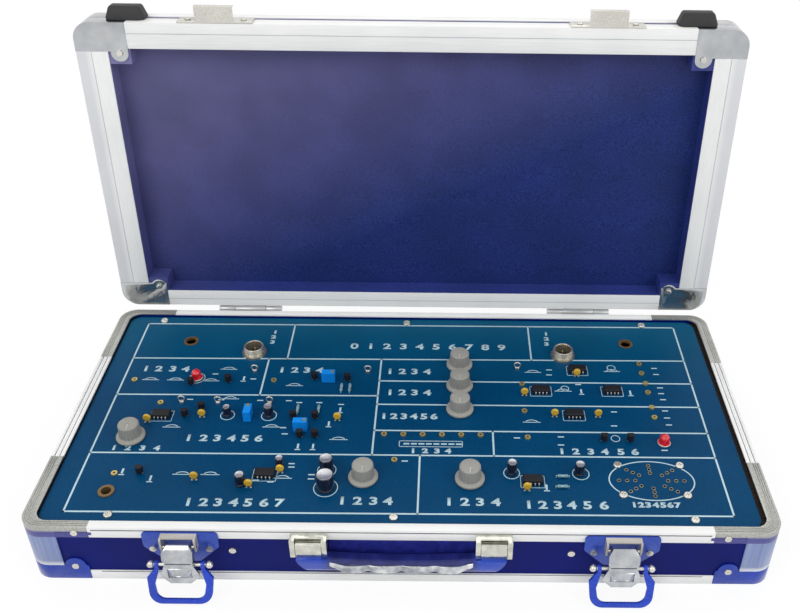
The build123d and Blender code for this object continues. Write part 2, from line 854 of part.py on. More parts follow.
# Chips: body on two rows of legs, with the end notch
chip_leg_height = chip_lift + chip_height / 2
with BuildPart() as chips:
    with BuildSketch(panel_face.offset(chip_lift)):
        with Locations(*chip_places):
            Rectangle(chip_length, chip_width)
    extrude(amount=chip_height)
    chamfer(chips.edges().group_by(Axis.Z)[-1], chip_chamfer)
    with BuildSketch(panel_face.offset(chip_lift + chip_height)):
        with Locations(*chip_places):
            with Locations((-chip_length / 2, 0)):
                Circle(chip_notch_radius)
    extrude(amount=-chip_notch_radius, mode=Mode.SUBTRACT)
    with BuildSketch(panel_face):
        with Locations(*chip_places):
            with GridLocations(chip_leg_pitch, chip_width + chip_leg_spread, chip_legs_a_side, 2):
                Rectangle(chip_leg_width, 2 * chip_leg_spread)
    extrude(amount=chip_leg_height)
chips.part.label = "chips"
export_step(chips.part, "parts/chips.step")

# Electrolytic capacitors: round cans with the rolled bead near the foot
with BuildPart() as electrolytic_capacitors:
    for x, y, radius, height in can_places:
        with BuildSketch(standing((x, y))):
            with BuildLine():
                Polyline(
                    (0, 0),
                    (radius, 0),
                    (radius, can_bead_height),
                    (radius - can_bead_depth, 1.5 * can_bead_height),
                    (radius, 2 * can_bead_height),
                    (radius, height - can_bead_depth),
                    (radius - can_bead_depth, height),
                    (0, height),
                    close=True,
                )
            make_face()
        revolve(axis=plumb((x, y)))
electrolytic_capacitors.part.label = "electrolytic_capacitors"
export_step(electrolytic_capacitors.part, "parts/electrolytic_capacitors.step")

# Trimmers: a block with a brass screw that turns in its top
trimmer_top = panel_face.offset(trimmer_height)
with BuildPart() as trimmer_bodies:
    for x, y, turn in trimmer_places.values():
        with BuildSketch(panel_face):
            with Locations(Location((x, y), turn)):
                Rectangle(trimmer_length, trimmer_width)
        extrude(amount=trimmer_height)
        with BuildSketch(trimmer_top):
            with Locations(Location((x, y), turn)):
                with Locations((trimmer_screw_offset, 0)):
                    Circle(trimmer_screw_radius + turning_clearance)
        extrude(amount=-trimmer_screw_depth, mode=Mode.SUBTRACT)
trimmer_bodies.part.label = "trimmer_bodies"
export_step(trimmer_bodies.part, "parts/trimmer_bodies.step")

for screw_name, (x, y, turn) in trimmer_places.items():
    with BuildPart() as trimmer_screw:
        with BuildSketch(trimmer_top.offset(-trimmer_screw_depth)):
            with Locations(Location((x, y), turn)):
                with Locations((trimmer_screw_offset, 0)):
                    Circle(trimmer_screw_radius)
        extrude(amount=trimmer_screw_depth + trimmer_screw_proud)
        with BuildSketch(trimmer_top.offset(trimmer_screw_proud)):
            with Locations(Location((x, y), turn)):
                with Locations((trimmer_screw_offset, 0)):
                    Rectangle(trimmer_slot, 2 * trimmer_screw_radius)
        extrude(amount=-trimmer_screw_proud, mode=Mode.SUBTRACT)
    trimmer_screw.part.label = screw_name
    export_step(trimmer_screw.part, f"parts/{screw_name}.step")

# Test terminals: an upright wire ring on a small foot
ring_centre = terminal_foot_height + terminal_ring_radius
with BuildPart() as test_terminals:
    with BuildSketch(panel_face):
        with Locations(*terminal_places):
            Circle(terminal_foot_radius)
    extrude(amount=terminal_foot_height)
    for x, y in terminal_places:
        with Locations(Location((x, y, panel_top + ring_centre), (90, 0, 0))):
            Torus(terminal_ring_radius, terminal_wire_radius)
test_terminals.part.label = "test_terminals"
export_step(test_terminals.part, "parts/test_terminals.step")

# Disc capacitors stand on edge on two leads
with BuildPart() as disc_capacitors:
    for place in disc_places:
        with BuildSketch(standing(place)):
            with Locations((0, disc_lift + disc_radius)):
                Circle(disc_radius)
        extrude(amount=disc_thickness / 2, both=True)
    fillet(disc_capacitors.edges().filter_by(GeomType.CIRCLE), disc_thickness / 3)
    with BuildSketch(panel_face):
        with Locations(*disc_places):
            with GridLocations(lead_spacing, 0, 2, 1):
                Circle(lead_radius)
    extrude(amount=disc_lift + disc_radius / 2)
disc_capacitors.part.label = "disc_capacitors"
export_step(disc_capacitors.part, "parts/disc_capacitors.step")

# Transistors: round black bodies with a flat, on three leads
with BuildPart() as transistors:
    with BuildSketch(panel_face.offset(transistor_lift)):
        with Locations(*small_transistor_places):
            Circle(transistor_radius)
            with Locations((0, 2 * transistor_radius - transistor_flat)):
                Rectangle(2 * transistor_radius, 2 * transistor_radius, mode=Mode.SUBTRACT)
    extrude(amount=transistor_body)
    with BuildSketch(panel_face):
        with Locations(*small_transistor_places):
            with GridLocations(lead_spacing / 2, 0, 3, 1):
                Circle(lead_radius)
    extrude(amount=transistor_lift + lead_spacing)
transistors.part.label = "transistors"
export_step(transistors.part, "parts/transistors.step")

# Resistors lie on the panel between their two bent leads
resistor_axis_height = resistor_lift + resistor_body_radius
with BuildPart() as resistors:
    for x, y, turn in resistor_places:
        heading = (math.cos(math.radians(turn)), math.sin(math.radians(turn)), 0)
        across = Plane(origin=(x, y, panel_top + resistor_axis_height), z_dir=heading)
        with BuildSketch(across):
            Circle(resistor_body_radius)
        extrude(amount=resistor_body_length / 2, both=True)
        with BuildSketch(across):
            Circle(resistor_body_radius)
            Circle(resistor_waist_radius, mode=Mode.SUBTRACT)
        extrude(amount=resistor_body_length / 6, both=True, mode=Mode.SUBTRACT)
        with BuildSketch(across):
            Circle(lead_radius)
        extrude(amount=resistor_lead_span / 2 - resistor_foot_radius, both=True)
        with BuildSketch(panel_face):
            with Locations(Location((x, y), turn)):
                with GridLocations(resistor_lead_span - 2 * resistor_foot_radius, 0, 2, 1):
                    Circle(resistor_foot_radius)
        extrude(amount=resistor_axis_height + resistor_foot_radius)
resistors.part.label = "resistors"
export_step(resistors.part, "parts/resistors.step")

# Gold contact rings, one row of them for the power leads
power_pads = [(power_pad_first + power_pad_pitch * step, power_pad_y) for step in range(power_pad_count)]
with BuildPart() as contact_rings:
    with BuildSketch(panel_face):
        with Locations(*pad_places, *power_pads):
            Circle(pad_radius)
            Circle(pad_bore_radius, mode=Mode.SUBTRACT)
    extrude(amount=pad_height)
contact_rings.part.label = "contact_rings"
export_step(contact_rings.part, "parts/contact_rings.step")


# Hinges: two outer knuckles on the base leaf, one on the lid leaf, and a stop lug under the open lid
hinge_y = case_depth / 2 + hinge_offset
inner_knuckle = hinge_width / 2 - knuckle_gap
outer_knuckle = hinge_width / 4
leaf_face = case_depth / 2
leaf_relief = knuckle_radius + knuckle_gap
lean = math.radians(lid_open_angle - 90)
lug_low = case_height - stop_lug_drop
lug_back = hinge_y + stop_lug_reach
leaf_underside = (hinge_offset - hinge_leaf_metal) * math.cos(lean) - stop_lug_reach * math.sin(lean)
lug_high = case_height + leaf_underside - stop_gap


def lid_plane(out=0):
    """Plane of the lid's rim: x across, y up the lid, z out of the rim, moved out by an amount."""
    facing = (0, -math.cos(lean), math.sin(lean))
    return Plane(origin=(0, hinge_y, case_height), x_dir=(1, 0, 0), z_dir=facing).offset(out)


def lid_edge_plane(up):
    """Plane square to the lid at a height up it: x across, y into the lid's thickness."""
    rim = lid_plane()
    return Plane(origin=rim.from_local_coords((0, up, 0)), x_dir=(1, 0, 0), z_dir=rim.y_dir)


with BuildPart() as hinge_base_leaves:
    for side in (-1, 1):
        middle = side * hinge_x
        with BuildSketch(Plane.XZ.offset(-leaf_face)):
            with Locations((middle, case_height)):
                Rectangle(hinge_width, hinge_leaf_drop, align=(Align.CENTER, Align.MAX))
        extrude(amount=-hinge_leaf_metal)
        with BuildSketch(Plane.YZ.offset(middle)):
            with Locations((hinge_y, case_height)):
                Circle(knuckle_radius)
        extrude(amount=hinge_width / 2, both=True)
        with BuildSketch(Plane.YZ.offset(middle)):
            with Locations((hinge_y, case_height)):
                Circle(knuckle_radius + knuckle_gap)
        extrude(amount=inner_knuckle / 2 + knuckle_gap, both=True, mode=Mode.SUBTRACT)
        with BuildSketch(Plane.YZ.offset(middle)):
            with Locations((hinge_y, case_height)):
                Circle(hinge_pin_radius + turning_clearance)
        extrude(amount=hinge_width, both=True, mode=Mode.SUBTRACT)
        with BuildSketch(Plane.YZ.offset(middle)):
            with BuildLine():
                Polyline(
                    (leaf_face, lug_low),
                    (lug_back, lug_low),
                    (lug_back, lug_high),
                    (lug_back - hinge_leaf_metal, lug_high),
                    (lug_back - hinge_leaf_metal, lug_low + hinge_leaf_metal),
                    (leaf_face, lug_low + hinge_leaf_metal),
                    close=True,
                )
            make_face()
        extrude(amount=stop_lug_width / 2, both=True)
hinge_base_leaves.part.label = "hinge_base_leaves"
export_step(hinge_base_leaves.part, "parts/hinge_base_leaves.step")

with BuildPart() as hinge_lid_leaves:
    for side in (-1, 1):
        middle = side * hinge_x
        with BuildSketch(Plane.YZ.offset(middle)):
            with Locations((hinge_y, case_height)):
                Circle(knuckle_radius)
        extrude(amount=inner_knuckle / 2, both=True)
        with BuildSketch(lid_edge_plane(hinge_offset)):
            with Locations((middle, 0)):
                Rectangle(hinge_width, hinge_leaf_drop, align=(Align.CENTER, Align.MIN))
            with Locations((middle - hinge_width / 2, 0), (middle + hinge_width / 2, 0)):
                Rectangle(2 * outer_knuckle + knuckle_gap, 2 * leaf_relief, mode=Mode.SUBTRACT)
        extrude(amount=-hinge_leaf_metal)
        with BuildSketch(Plane.YZ.offset(middle)):
            with Locations((hinge_y, case_height)):
                Circle(hinge_pin_radius + turning_clearance)
        extrude(amount=hinge_width, both=True, mode=Mode.SUBTRACT)
hinge_lid_leaves.part.label = "hinge_lid_leaves"
export_step(hinge_lid_leaves.part, "parts/hinge_lid_leaves.step")

with BuildPart() as hinge_pins:
    for side in (-1, 1):
        with BuildSketch(Plane.YZ.offset(side * hinge_x)):
            with Locations((hinge_y, case_height)):
                Circle(hinge_pin_radius)
        extrude(amount=hinge_width / 2, both=True)
hinge_pins.part.label = "hinge_pins"
export_step(hinge_pins.part, "parts/hinge_pins.step")

# Lid: the outline is drawn on the rim plane, up from the hinge line
lid_middle = hinge_offset + case_depth / 2
lid_opening_width = case_width - 2 * lid_side_width
lid_opening_height = case_depth - lid_front_width - lid_back_width
lid_opening_middle = lid_middle + (lid_back_width - lid_front_width) / 2
lid_front = hinge_offset + case_depth
lid_outside = lid_gap + lid_height
lid_panel_thickness = lid_height - lid_recess_depth
lid_wall_depth = lid_recess_depth - flange_metal
tab_places = [(side * (case_width / 2 - lid_tab_in), lid_front - lid_front_tab_down) for side in (-1, 1)]
tab_places += [(side * (case_width / 2 - lid_tab_in), hinge_offset + lid_back_tab_up) for side in (-1, 1)]

with BuildPart() as lid_panel:
    with BuildSketch(lid_plane(-lid_outside)):
        with Locations((0, lid_middle)):
            RectangleRounded(wall_width, wall_depth, wall_radius)
    extrude(amount=lid_panel_thickness)
    with BuildSketch(lid_plane(-lid_outside)):
        with Locations((0, lid_middle)):
            Rectangle(case_width, case_depth)
            RectangleRounded(
                case_width - 2 * foot_flange_width,
                case_depth - 2 * foot_flange_width,
                corner_radius - foot_flange_width,
                mode=Mode.SUBTRACT,
            )
    extrude(amount=lip_metal, mode=Mode.SUBTRACT)
lid_panel.part.label = "lid_panel"
export_step(lid_panel.part, "parts/lid_panel.step")

with BuildPart() as lid_walls:
    with BuildSketch(lid_plane(-lid_gap - flange_metal)):
        with Locations((0, lid_middle)):
            RectangleRounded(wall_width, wall_depth, wall_radius)
        with Locations((0, lid_opening_middle)):
            Rectangle(lid_opening_width, lid_opening_height, mode=Mode.SUBTRACT)
            with GridLocations(lid_opening_width, 0, 2, 1):
                Rectangle(board_seam, 2 * case_depth, mode=Mode.SUBTRACT)
    extrude(amount=-lid_wall_depth)
lid_walls.part.label = "lid_walls"
export_step(lid_walls.part, "parts/lid_walls.step")

with BuildPart() as lid_rails:
    with BuildSketch(lid_plane(-lid_gap)):
        with Locations((0, lid_middle)):
            Rectangle(case_width, case_depth)
        with Locations((0, lid_opening_middle)):
            Rectangle(lid_opening_width, lid_opening_height, mode=Mode.SUBTRACT)
        with Locations((0, lid_middle)):
            with GridLocations(case_width, case_depth, 2, 2):
                Rectangle(2 * lid_corner_reach, 2 * lid_corner_drop, mode=Mode.SUBTRACT)
    extrude(amount=-flange_metal)
    with BuildSketch(lid_plane(-lid_gap)):
        with Locations((0, lid_middle)):
            Rectangle(case_width, case_depth)
            Rectangle(wall_width, wall_depth, mode=Mode.SUBTRACT)
            with GridLocations(case_width, case_depth, 2, 2):
                Rectangle(2 * lid_corner_reach, 2 * lid_corner_drop, mode=Mode.SUBTRACT)
    extrude(amount=-lid_corner_depth)
    with BuildSketch(lid_plane(-lid_outside)):
        with Locations((0, lid_middle)):
            Rectangle(case_width, case_depth)
            Rectangle(
                case_width - 2 * foot_flange_width, case_depth - 2 * foot_flange_width, mode=Mode.SUBTRACT
            )
            with GridLocations(case_width, case_depth, 2, 2):
                Rectangle(2 * ball_reach, 2 * ball_reach, mode=Mode.SUBTRACT)
    extrude(amount=lip_metal)
    with BuildSketch(lid_plane(-lid_outside)):
        with Locations((0, lid_middle)):
            Rectangle(case_width, case_depth)
            Rectangle(wall_width, wall_depth, mode=Mode.SUBTRACT)
            with GridLocations(case_width, case_depth, 2, 2):
                Rectangle(2 * ball_reach, 2 * ball_reach, mode=Mode.SUBTRACT)
    extrude(amount=foot_lip_height)
lid_rails.part.label = "lid_rails"
export_step(lid_rails.part, "parts/lid_rails.step")

with BuildPart() as lid_corner_balls:
    with BuildSketch(lid_plane(-lid_gap)):
        with Locations((0, lid_middle)):
            RectangleRounded(case_width, case_depth, corner_radius)
            Rectangle(case_width - 2 * lid_corner_reach, 2 * case_depth, mode=Mode.SUBTRACT)
            Rectangle(2 * case_width, case_depth - 2 * lid_corner_drop, mode=Mode.SUBTRACT)
        with Locations(*tab_places):
            Circle(lid_tab_radius)
    extrude(amount=-flange_metal)
    with BuildSketch(lid_plane(-lid_gap)):
        with Locations((0, lid_middle)):
            RectangleRounded(case_width, case_depth, corner_radius)
            RectangleRounded(wall_width, wall_depth, wall_radius, mode=Mode.SUBTRACT)
            Rectangle(case_width - 2 * lid_corner_reach, 2 * case_depth, mode=Mode.SUBTRACT)
            Rectangle(2 * case_width, case_depth - 2 * lid_corner_drop, mode=Mode.SUBTRACT)
    extrude(amount=-lid_corner_depth)
    with BuildSketch(lid_plane(-lid_outside)):
        with Locations((0, lid_middle)):
            RectangleRounded(case_width, case_depth, corner_radius)
            RectangleRounded(wall_width, wall_depth, wall_radius, mode=Mode.SUBTRACT)
            Rectangle(case_width - 2 * ball_reach, 2 * case_depth, mode=Mode.SUBTRACT)
            Rectangle(2 * case_width, case_depth - 2 * ball_reach, mode=Mode.SUBTRACT)
    extrude(amount=ball_height)
    with BuildSketch(lid_plane(-lid_outside)):
        with Locations((0, lid_middle)):
            RectangleRounded(case_width, case_depth, corner_radius)
            RectangleRounded(
                case_width - 2 * foot_flange_width,
                case_depth - 2 * foot_flange_width,
                corner_radius - foot_flange_width,
                mode=Mode.SUBTRACT,
            )
            Rectangle(case_width - 2 * ball_reach, 2 * case_depth, mode=Mode.SUBTRACT)
            Rectangle(2 * case_width, case_depth - 2 * ball_reach, mode=Mode.SUBTRACT)
    extrude(amount=lip_metal)
lid_corner_balls.part.label = "lid_corner_balls"
export_step(lid_corner_balls.part, "parts/lid_corner_balls.step")

block_front = lid_opening_middle + lid_opening_height / 2 - lid_block_length / 2
block_back = lid_opening_middle - lid_opening_height / 2 + lid_block_length / 2
with BuildPart() as lid_corner_blocks:
    with BuildSketch(lid_plane(-lid_gap - flange_metal)):
        with GridLocations(lid_opening_width - lid_block_width, 0, 2, 1):
            with Locations((0, block_front), (0, block_back)):
                Rectangle(lid_block_width, lid_block_length)
    extrude(amount=-lid_wall_depth)
lid_corner_blocks.part.label = "lid_corner_blocks"
export_step(lid_corner_blocks.part, "parts/lid_corner_blocks.step")

# Keepers for the bails: a plate on the lid's front wall with an upturned shelf
keeper_face = lid_edge_plane(lid_front)
with BuildPart() as lid_keepers:
    for side in (-1, 1):
        with BuildSketch(keeper_face):
            with Locations((side * latch_x, lid_gap)):
                Rectangle(keeper_plate_width, keeper_plate_height, align=(Align.CENTER, Align.MIN))
        extrude(amount=keeper_metal)
        with BuildSketch(keeper_face):
            with Locations((side * latch_x, lid_gap)):
                Rectangle(keeper_width, keeper_metal, align=(Align.CENTER, Align.MIN))
        extrude(amount=keeper_shelf_reach)
        with BuildSketch(keeper_face.offset(keeper_shelf_reach)):
            with Locations((side * latch_x, lid_gap)):
                Rectangle(keeper_width, keeper_metal + keeper_lip, align=(Align.CENTER, Align.MIN))
        extrude(amount=-keeper_metal)
lid_keepers.part.label = "lid_keepers"
export_step(lid_keepers.part, "parts/lid_keepers.step")

with BuildPart() as lid_feet:
    with BuildSketch(keeper_face):
        with GridLocations(2 * foot_x, 0, 2, 1):
            with Locations((0, lid_gap + lid_height / 2)):
                RectangleRounded(foot_length, foot_width, foot_corner_radius)
    foot_taper = math.degrees(math.atan2(foot_length - foot_top_length, 2 * foot_height))
    extrude(amount=foot_height, taper=foot_taper)
lid_feet.part.label = "lid_feet"
export_step(lid_feet.part, "parts/lid_feet.step")

keeper_rivets = [(side * latch_x + step * keeper_rivet_x, lid_gap + keeper_plate_height / 2)
                 for side in (-1, 1) for step in (-1, 1)]
with BuildPart() as lid_rivets:
    with BuildSketch(lid_plane(-lid_gap)):
        with Locations(*tab_places):
            Circle(rivet_radius)
    extrude(amount=rivet_height)
    with BuildSketch(keeper_face.offset(keeper_metal)):
        with Locations(*keeper_rivets):
            Circle(rivet_radius)
    extrude(amount=rivet_height)
lid_rivets.part.label = "lid_rivets"
export_step(lid_rivets.part, "parts/lid_rivets.step")


# Latches
def side_plane(x):
    """Plane square to the case's width at x: distance in front of the case, and height."""
    return Plane(origin=(x, front_face, 0), x_dir=(0, -1, 0), z_dir=(-1, 0, 0))


def front_at(x):
    """Plane of the case's front face with its origin at x: across, and height."""
    return Plane(origin=(x, front_face, 0), x_dir=(1, 0, 0), z_dir=(0, -1, 0))


front_plane = front_at(0)
plate_shoulder = latch_plate_top - latch_shoulder_drop
with BuildPart() as latch_plates:
    for side in (-1, 1):
        with BuildSketch(front_at(side * latch_x)) as shield:
            with BuildLine():
                Polyline(
                    (-latch_tip_width / 2, latch_plate_tip),
                    (-latch_plate_width / 2, plate_shoulder),
                    (-latch_plate_width / 2, latch_plate_top),
                    (latch_plate_width / 2, latch_plate_top),
                    (latch_plate_width / 2, plate_shoulder),
                    (latch_tip_width / 2, latch_plate_tip),
                    close=True,
                )
            make_face()
            fillet(shield.vertices(), latch_plate_corner)
        extrude(amount=latch_plate_metal)
        with BuildSketch(front_at(side * latch_x)):
            add(shield.sketch_local)
            with Locations((0, case_height - rim_lip_height)):
                Rectangle(case_width, case_height, align=(Align.CENTER, Align.MIN), mode=Mode.SUBTRACT)
        extrude(amount=-lip_metal)
        with BuildSketch(side_plane(side * latch_x)):
            with BuildLine():
                Polyline(
                    (0, latch_box_low),
                    (latch_pivot_out + latch_ear_metal, latch_box_low),
                    (latch_box_depth, latch_pivot_height),
                    (latch_box_depth, latch_plate_top - latch_ear_metal),
                    (latch_box_depth - latch_ear_metal, latch_plate_top),
                    (0, latch_plate_top),
                    close=True,
                )
            make_face()
        extrude(amount=latch_box_half_width, both=True)
        with BuildSketch(side_plane(side * latch_x)):
            with Locations((latch_plate_metal, latch_plate_top - latch_ear_metal)):
                Rectangle(latch_box_depth, latch_plate_top, align=(Align.MIN, Align.MAX))
            with Locations((latch_roof_reach, latch_plate_top)):
                Rectangle(latch_box_depth, latch_box_depth, align=(Align.MIN, Align.MAX))
        extrude(amount=latch_box_half_width - latch_ear_metal, both=True, mode=Mode.SUBTRACT)
        with BuildSketch(side_plane(side * latch_x)):
            with Locations((latch_pivot_out, latch_pivot_height)):
                Circle(latch_pivot_radius + turning_clearance)
        extrude(amount=latch_box_half_width, both=True, mode=Mode.SUBTRACT)
latch_plates.part.label = "latch_plates"
export_step(latch_plates.part, "parts/latch_plates.step")

# Pins of the latches and of the handle, and the rivets of the latch plates
with BuildPart() as pivot_pins:
    for side in (-1, 1):
        with BuildSketch(side_plane(side * latch_x)):
            with Locations((latch_pivot_out, latch_pivot_height)):
                Circle(latch_pivot_radius)
        extrude(amount=latch_box_half_width, both=True)
        with BuildSketch(side_plane(side * handle_x)):
            with Locations((handle_pivot_out, handle_pivot_height)):
                Circle(handle_pivot_radius)
        extrude(amount=handle_bracket_width / 2, both=True)
    with BuildSketch(front_plane.offset(latch_plate_metal)):
        with GridLocations(2 * latch_x, 0, 2, 1):
            with Locations((-latch_rivet_x, latch_rivet_height), (latch_rivet_x, latch_rivet_height)):
                Circle(rivet_radius)
    extrude(amount=rivet_height)
pivot_pins.part.label = "pivot_pins"
export_step(pivot_pins.part, "parts/pivot_pins.step")

bail_tilt = math.radians(bail_lean)
for side, end_name in ((-1, "left"), (1, "right")):
    middle = side * latch_x
    with BuildPart() as latch_lever:
        with BuildSketch(side_plane(middle)):
            with BuildLine() as lever_line:
                ThreePointArc(
                    (latch_pivot_out + lever_metal, lever_top),
                    (latch_pivot_out + lever_crown_reach, latch_pivot_height - lever_metal / 2),
                    (lever_front, lever_waist_height + lever_metal),
                )
                Line((lever_front, lever_waist_height + lever_metal), (lever_front, lever_flare_height))
                Line((lever_front, lever_flare_height), (lever_front + lever_metal, lever_low))
            trace(line_width=lever_metal)
        extrude(amount=lever_tongue_half_width, both=True)
        with BuildSketch(front_at(middle)):
            with BuildLine():
                for half in (-1, 1):
                    Polyline(
                        (0, lever_top + lever_metal),
                        (half * lever_crown_half_width, lever_top + lever_metal),
                        (half * lever_half_width, latch_pivot_height),
                        (half * lever_half_width, lever_waist_height + 2 * lever_metal),
                        (half * lever_waist_half_width, lever_waist_height),
                        (half * lever_waist_half_width, lever_waist_height - lever_metal),
                        (half * lever_tongue_half_width, lever_flare_height + 2 * lever_metal),
                        (half * lever_tongue_half_width, lever_flare_height),
                        (half * lever_crown_half_width, lever_low),
                        (0, lever_low - lever_metal / 2),
                    )
            make_face()
        extrude(amount=2 * lever_front, mode=Mode.INTERSECT)
        with BuildSketch(side_plane(middle)) as cheek:
            with BuildLine():
                Polyline(
                    (latch_pivot_out - cheek_margin, latch_pivot_height - cheek_margin),
                    (latch_pivot_out - cheek_margin, latch_pivot_height + cheek_margin / 2),
                    (latch_pivot_out + cheek_margin, latch_pivot_height + cheek_margin / 2),
                    (lever_front - lever_metal, latch_pivot_height - cheek_margin),
                    (lever_front, lever_waist_height + lever_metal),
                    (lever_front, axle_height - cheek_margin),
                    (axle_out - cheek_margin, axle_height - cheek_margin),
                    close=True,
                )
            make_face()
        extrude(amount=lever_cheek_half_width, both=True)
        with BuildSketch(side_plane(middle)):
            add(cheek.sketch_local)
            with BuildLine():
                add(lever_line.line)
            trace(line_width=lever_metal, mode=Mode.SUBTRACT)
        extrude(amount=lever_cheek_half_width - lever_metal, both=True, mode=Mode.SUBTRACT)
        with BuildSketch(side_plane(middle)):
            with Locations((latch_pivot_out, latch_pivot_height)):
                Circle(latch_pivot_radius + turning_clearance)
            with Locations((axle_out, axle_height)):
                Circle(axle_radius + turning_clearance)
        extrude(amount=latch_box_half_width, both=True, mode=Mode.SUBTRACT)
    latch_lever.part.label = f"latch_lever_{end_name}"
    export_step(latch_lever.part, f"parts/latch_lever_{end_name}.step")

    with BuildPart() as latch_axle:
        with BuildSketch(side_plane(middle)):
            with Locations((axle_out, axle_height)):
                Circle(axle_radius)
        extrude(amount=axle_half_length, both=True)
        for end in (-1, 1):
            with Locations((middle + end * axle_half_length, front_face - axle_out, axle_height)):
                Sphere(axle_ball_radius)
    latch_axle.part.label = f"latch_axle_{end_name}"
    export_step(latch_axle.part, f"parts/latch_axle_{end_name}.step")

    bail_plane = Plane(
        origin=(middle, front_face - axle_out, axle_height),
        x_dir=(1, 0, 0),
        z_dir=(0, -math.cos(bail_tilt), math.sin(bail_tilt)),
    )
    with BuildPart() as latch_bail:
        with BuildSketch(bail_plane) as bail_loop:
            with BuildLine():
                Polyline(
                    (-bail_eye_half_spacing - bail_eye_thickness / 2, 0),
                    (-bail_eye_half_spacing - bail_eye_thickness / 2, -axle_ball_radius),
                    (-bail_half_width, -bail_length / 3),
                    (-bail_half_width + bail_taper, -bail_length),
                    (bail_half_width - bail_taper, -bail_length),
                    (bail_half_width, -bail_length / 3),
                    (bail_eye_half_spacing + bail_eye_thickness / 2, -axle_ball_radius),
                    (bail_eye_half_spacing + bail_eye_thickness / 2, 0),
                    close=True,
                )
            make_face()
            fillet(bail_loop.vertices().group_by(Axis.Y)[0], bail_corner_radius)
            with BuildLine():
                Polyline(
                    (-bail_eye_half_spacing + bail_eye_thickness / 2, bail_band),
                    (-bail_eye_half_spacing + bail_eye_thickness / 2, -bail_band),
                    (-bail_half_width + bail_arm_band, -bail_length / 2),
                    (-bail_half_width + bail_arm_band + bail_taper, bail_band - bail_length),
                    (bail_half_width - bail_arm_band - bail_taper, bail_band - bail_length),
                    (bail_half_width - bail_arm_band, -bail_length / 2),
                    (bail_eye_half_spacing - bail_eye_thickness / 2, -bail_band),
                    (bail_eye_half_spacing - bail_eye_thickness / 2, bail_band),
                    close=True,
                )
            make_face(mode=Mode.SUBTRACT)
        extrude(amount=bail_metal / 2, both=True)
        for end in (-1, 1):
            with BuildSketch(side_plane(middle + end * bail_eye_half_spacing)):
                with Locations((axle_out, axle_height)):
                    Circle(bail_eye_radius)
            extrude(amount=bail_eye_thickness / 2, both=True)
        with BuildSketch(side_plane(middle)):
            with Locations((axle_out, axle_height)):
                Circle(axle_radius + turning_clearance)
        extrude(amount=bail_half_width, both=True, mode=Mode.SUBTRACT)
    latch_bail.part.label = f"latch_bail_{end_name}"
    export_step(latch_bail.part, f"parts/latch_bail_{end_name}.step")

# Carrying handle: brackets, and the grip that hangs from its two ferrules
ferrule_half_width = handle_bracket_width / 2 - handle_cheek - handle_ferrule_gap
ferrule_inner = handle_x - ferrule_half_width
ferrule_outer = handle_x + ferrule_half_width
with BuildPart() as handle_brackets:
    for side in (-1, 1):
        middle = side * handle_x
        with BuildSketch(front_plane):
            with Locations((middle, handle_bracket_low)):
                Rectangle(
                    handle_bracket_width,
                    handle_bracket_high - handle_bracket_low,
                    align=(Align.CENTER, Align.MIN),
                )
        extrude(amount=handle_pivot_out + handle_ferrule_radius)
        with BuildSketch(front_plane):
            with Locations((middle, handle_bracket_low)):
                Rectangle(
                    handle_bracket_width,
                    case_height - rim_lip_height - handle_bracket_low,
                    align=(Align.CENTER, Align.MIN),
                )
        extrude(amount=-lip_metal)
        with BuildSketch(side_plane(middle)):
            with Locations((handle_plate_metal, handle_bracket_high - handle_plate_metal)):
                Rectangle(handle_bracket_high, handle_bracket_high, align=(Align.MIN, Align.MAX))
        extrude(amount=handle_bracket_width / 2 - handle_cheek, both=True, mode=Mode.SUBTRACT)
        with BuildSketch(side_plane(middle)):
            with Locations((handle_pivot_out, handle_bracket_high)):
                Rectangle(handle_bracket_high, handle_plate_metal * 2, align=(Align.MIN, Align.CENTER))
        extrude(amount=handle_bracket_width / 2 - handle_cheek, both=True, mode=Mode.SUBTRACT)
        with BuildSketch(side_plane(middle)):
            with Locations((handle_pivot_out, handle_pivot_height)):
                Circle(handle_pivot_radius)
        extrude(amount=handle_bracket_width / 2, both=True, mode=Mode.SUBTRACT)
handle_brackets.part.label = "handle_brackets"
export_step(handle_brackets.part, "parts/handle_brackets.step")

with BuildPart() as handle_ferrules:
    for side in (-1, 1):
        middle = side * handle_x
        with BuildSketch(side_plane(middle)):
            with Locations((handle_pivot_out, handle_pivot_height)):
                Circle(handle_ferrule_radius)
                Rectangle(
                    2 * handle_ferrule_radius,
                    handle_pivot_height - handle_bracket_low,
                    align=(Align.CENTER, Align.MAX),
                )
                Circle(handle_pivot_radius + turning_clearance, mode=Mode.SUBTRACT)
        extrude(amount=ferrule_half_width, both=True)
handle_ferrules.part.label = "handle_ferrules"
export_step(handle_ferrules.part, "parts/handle_ferrules.step")

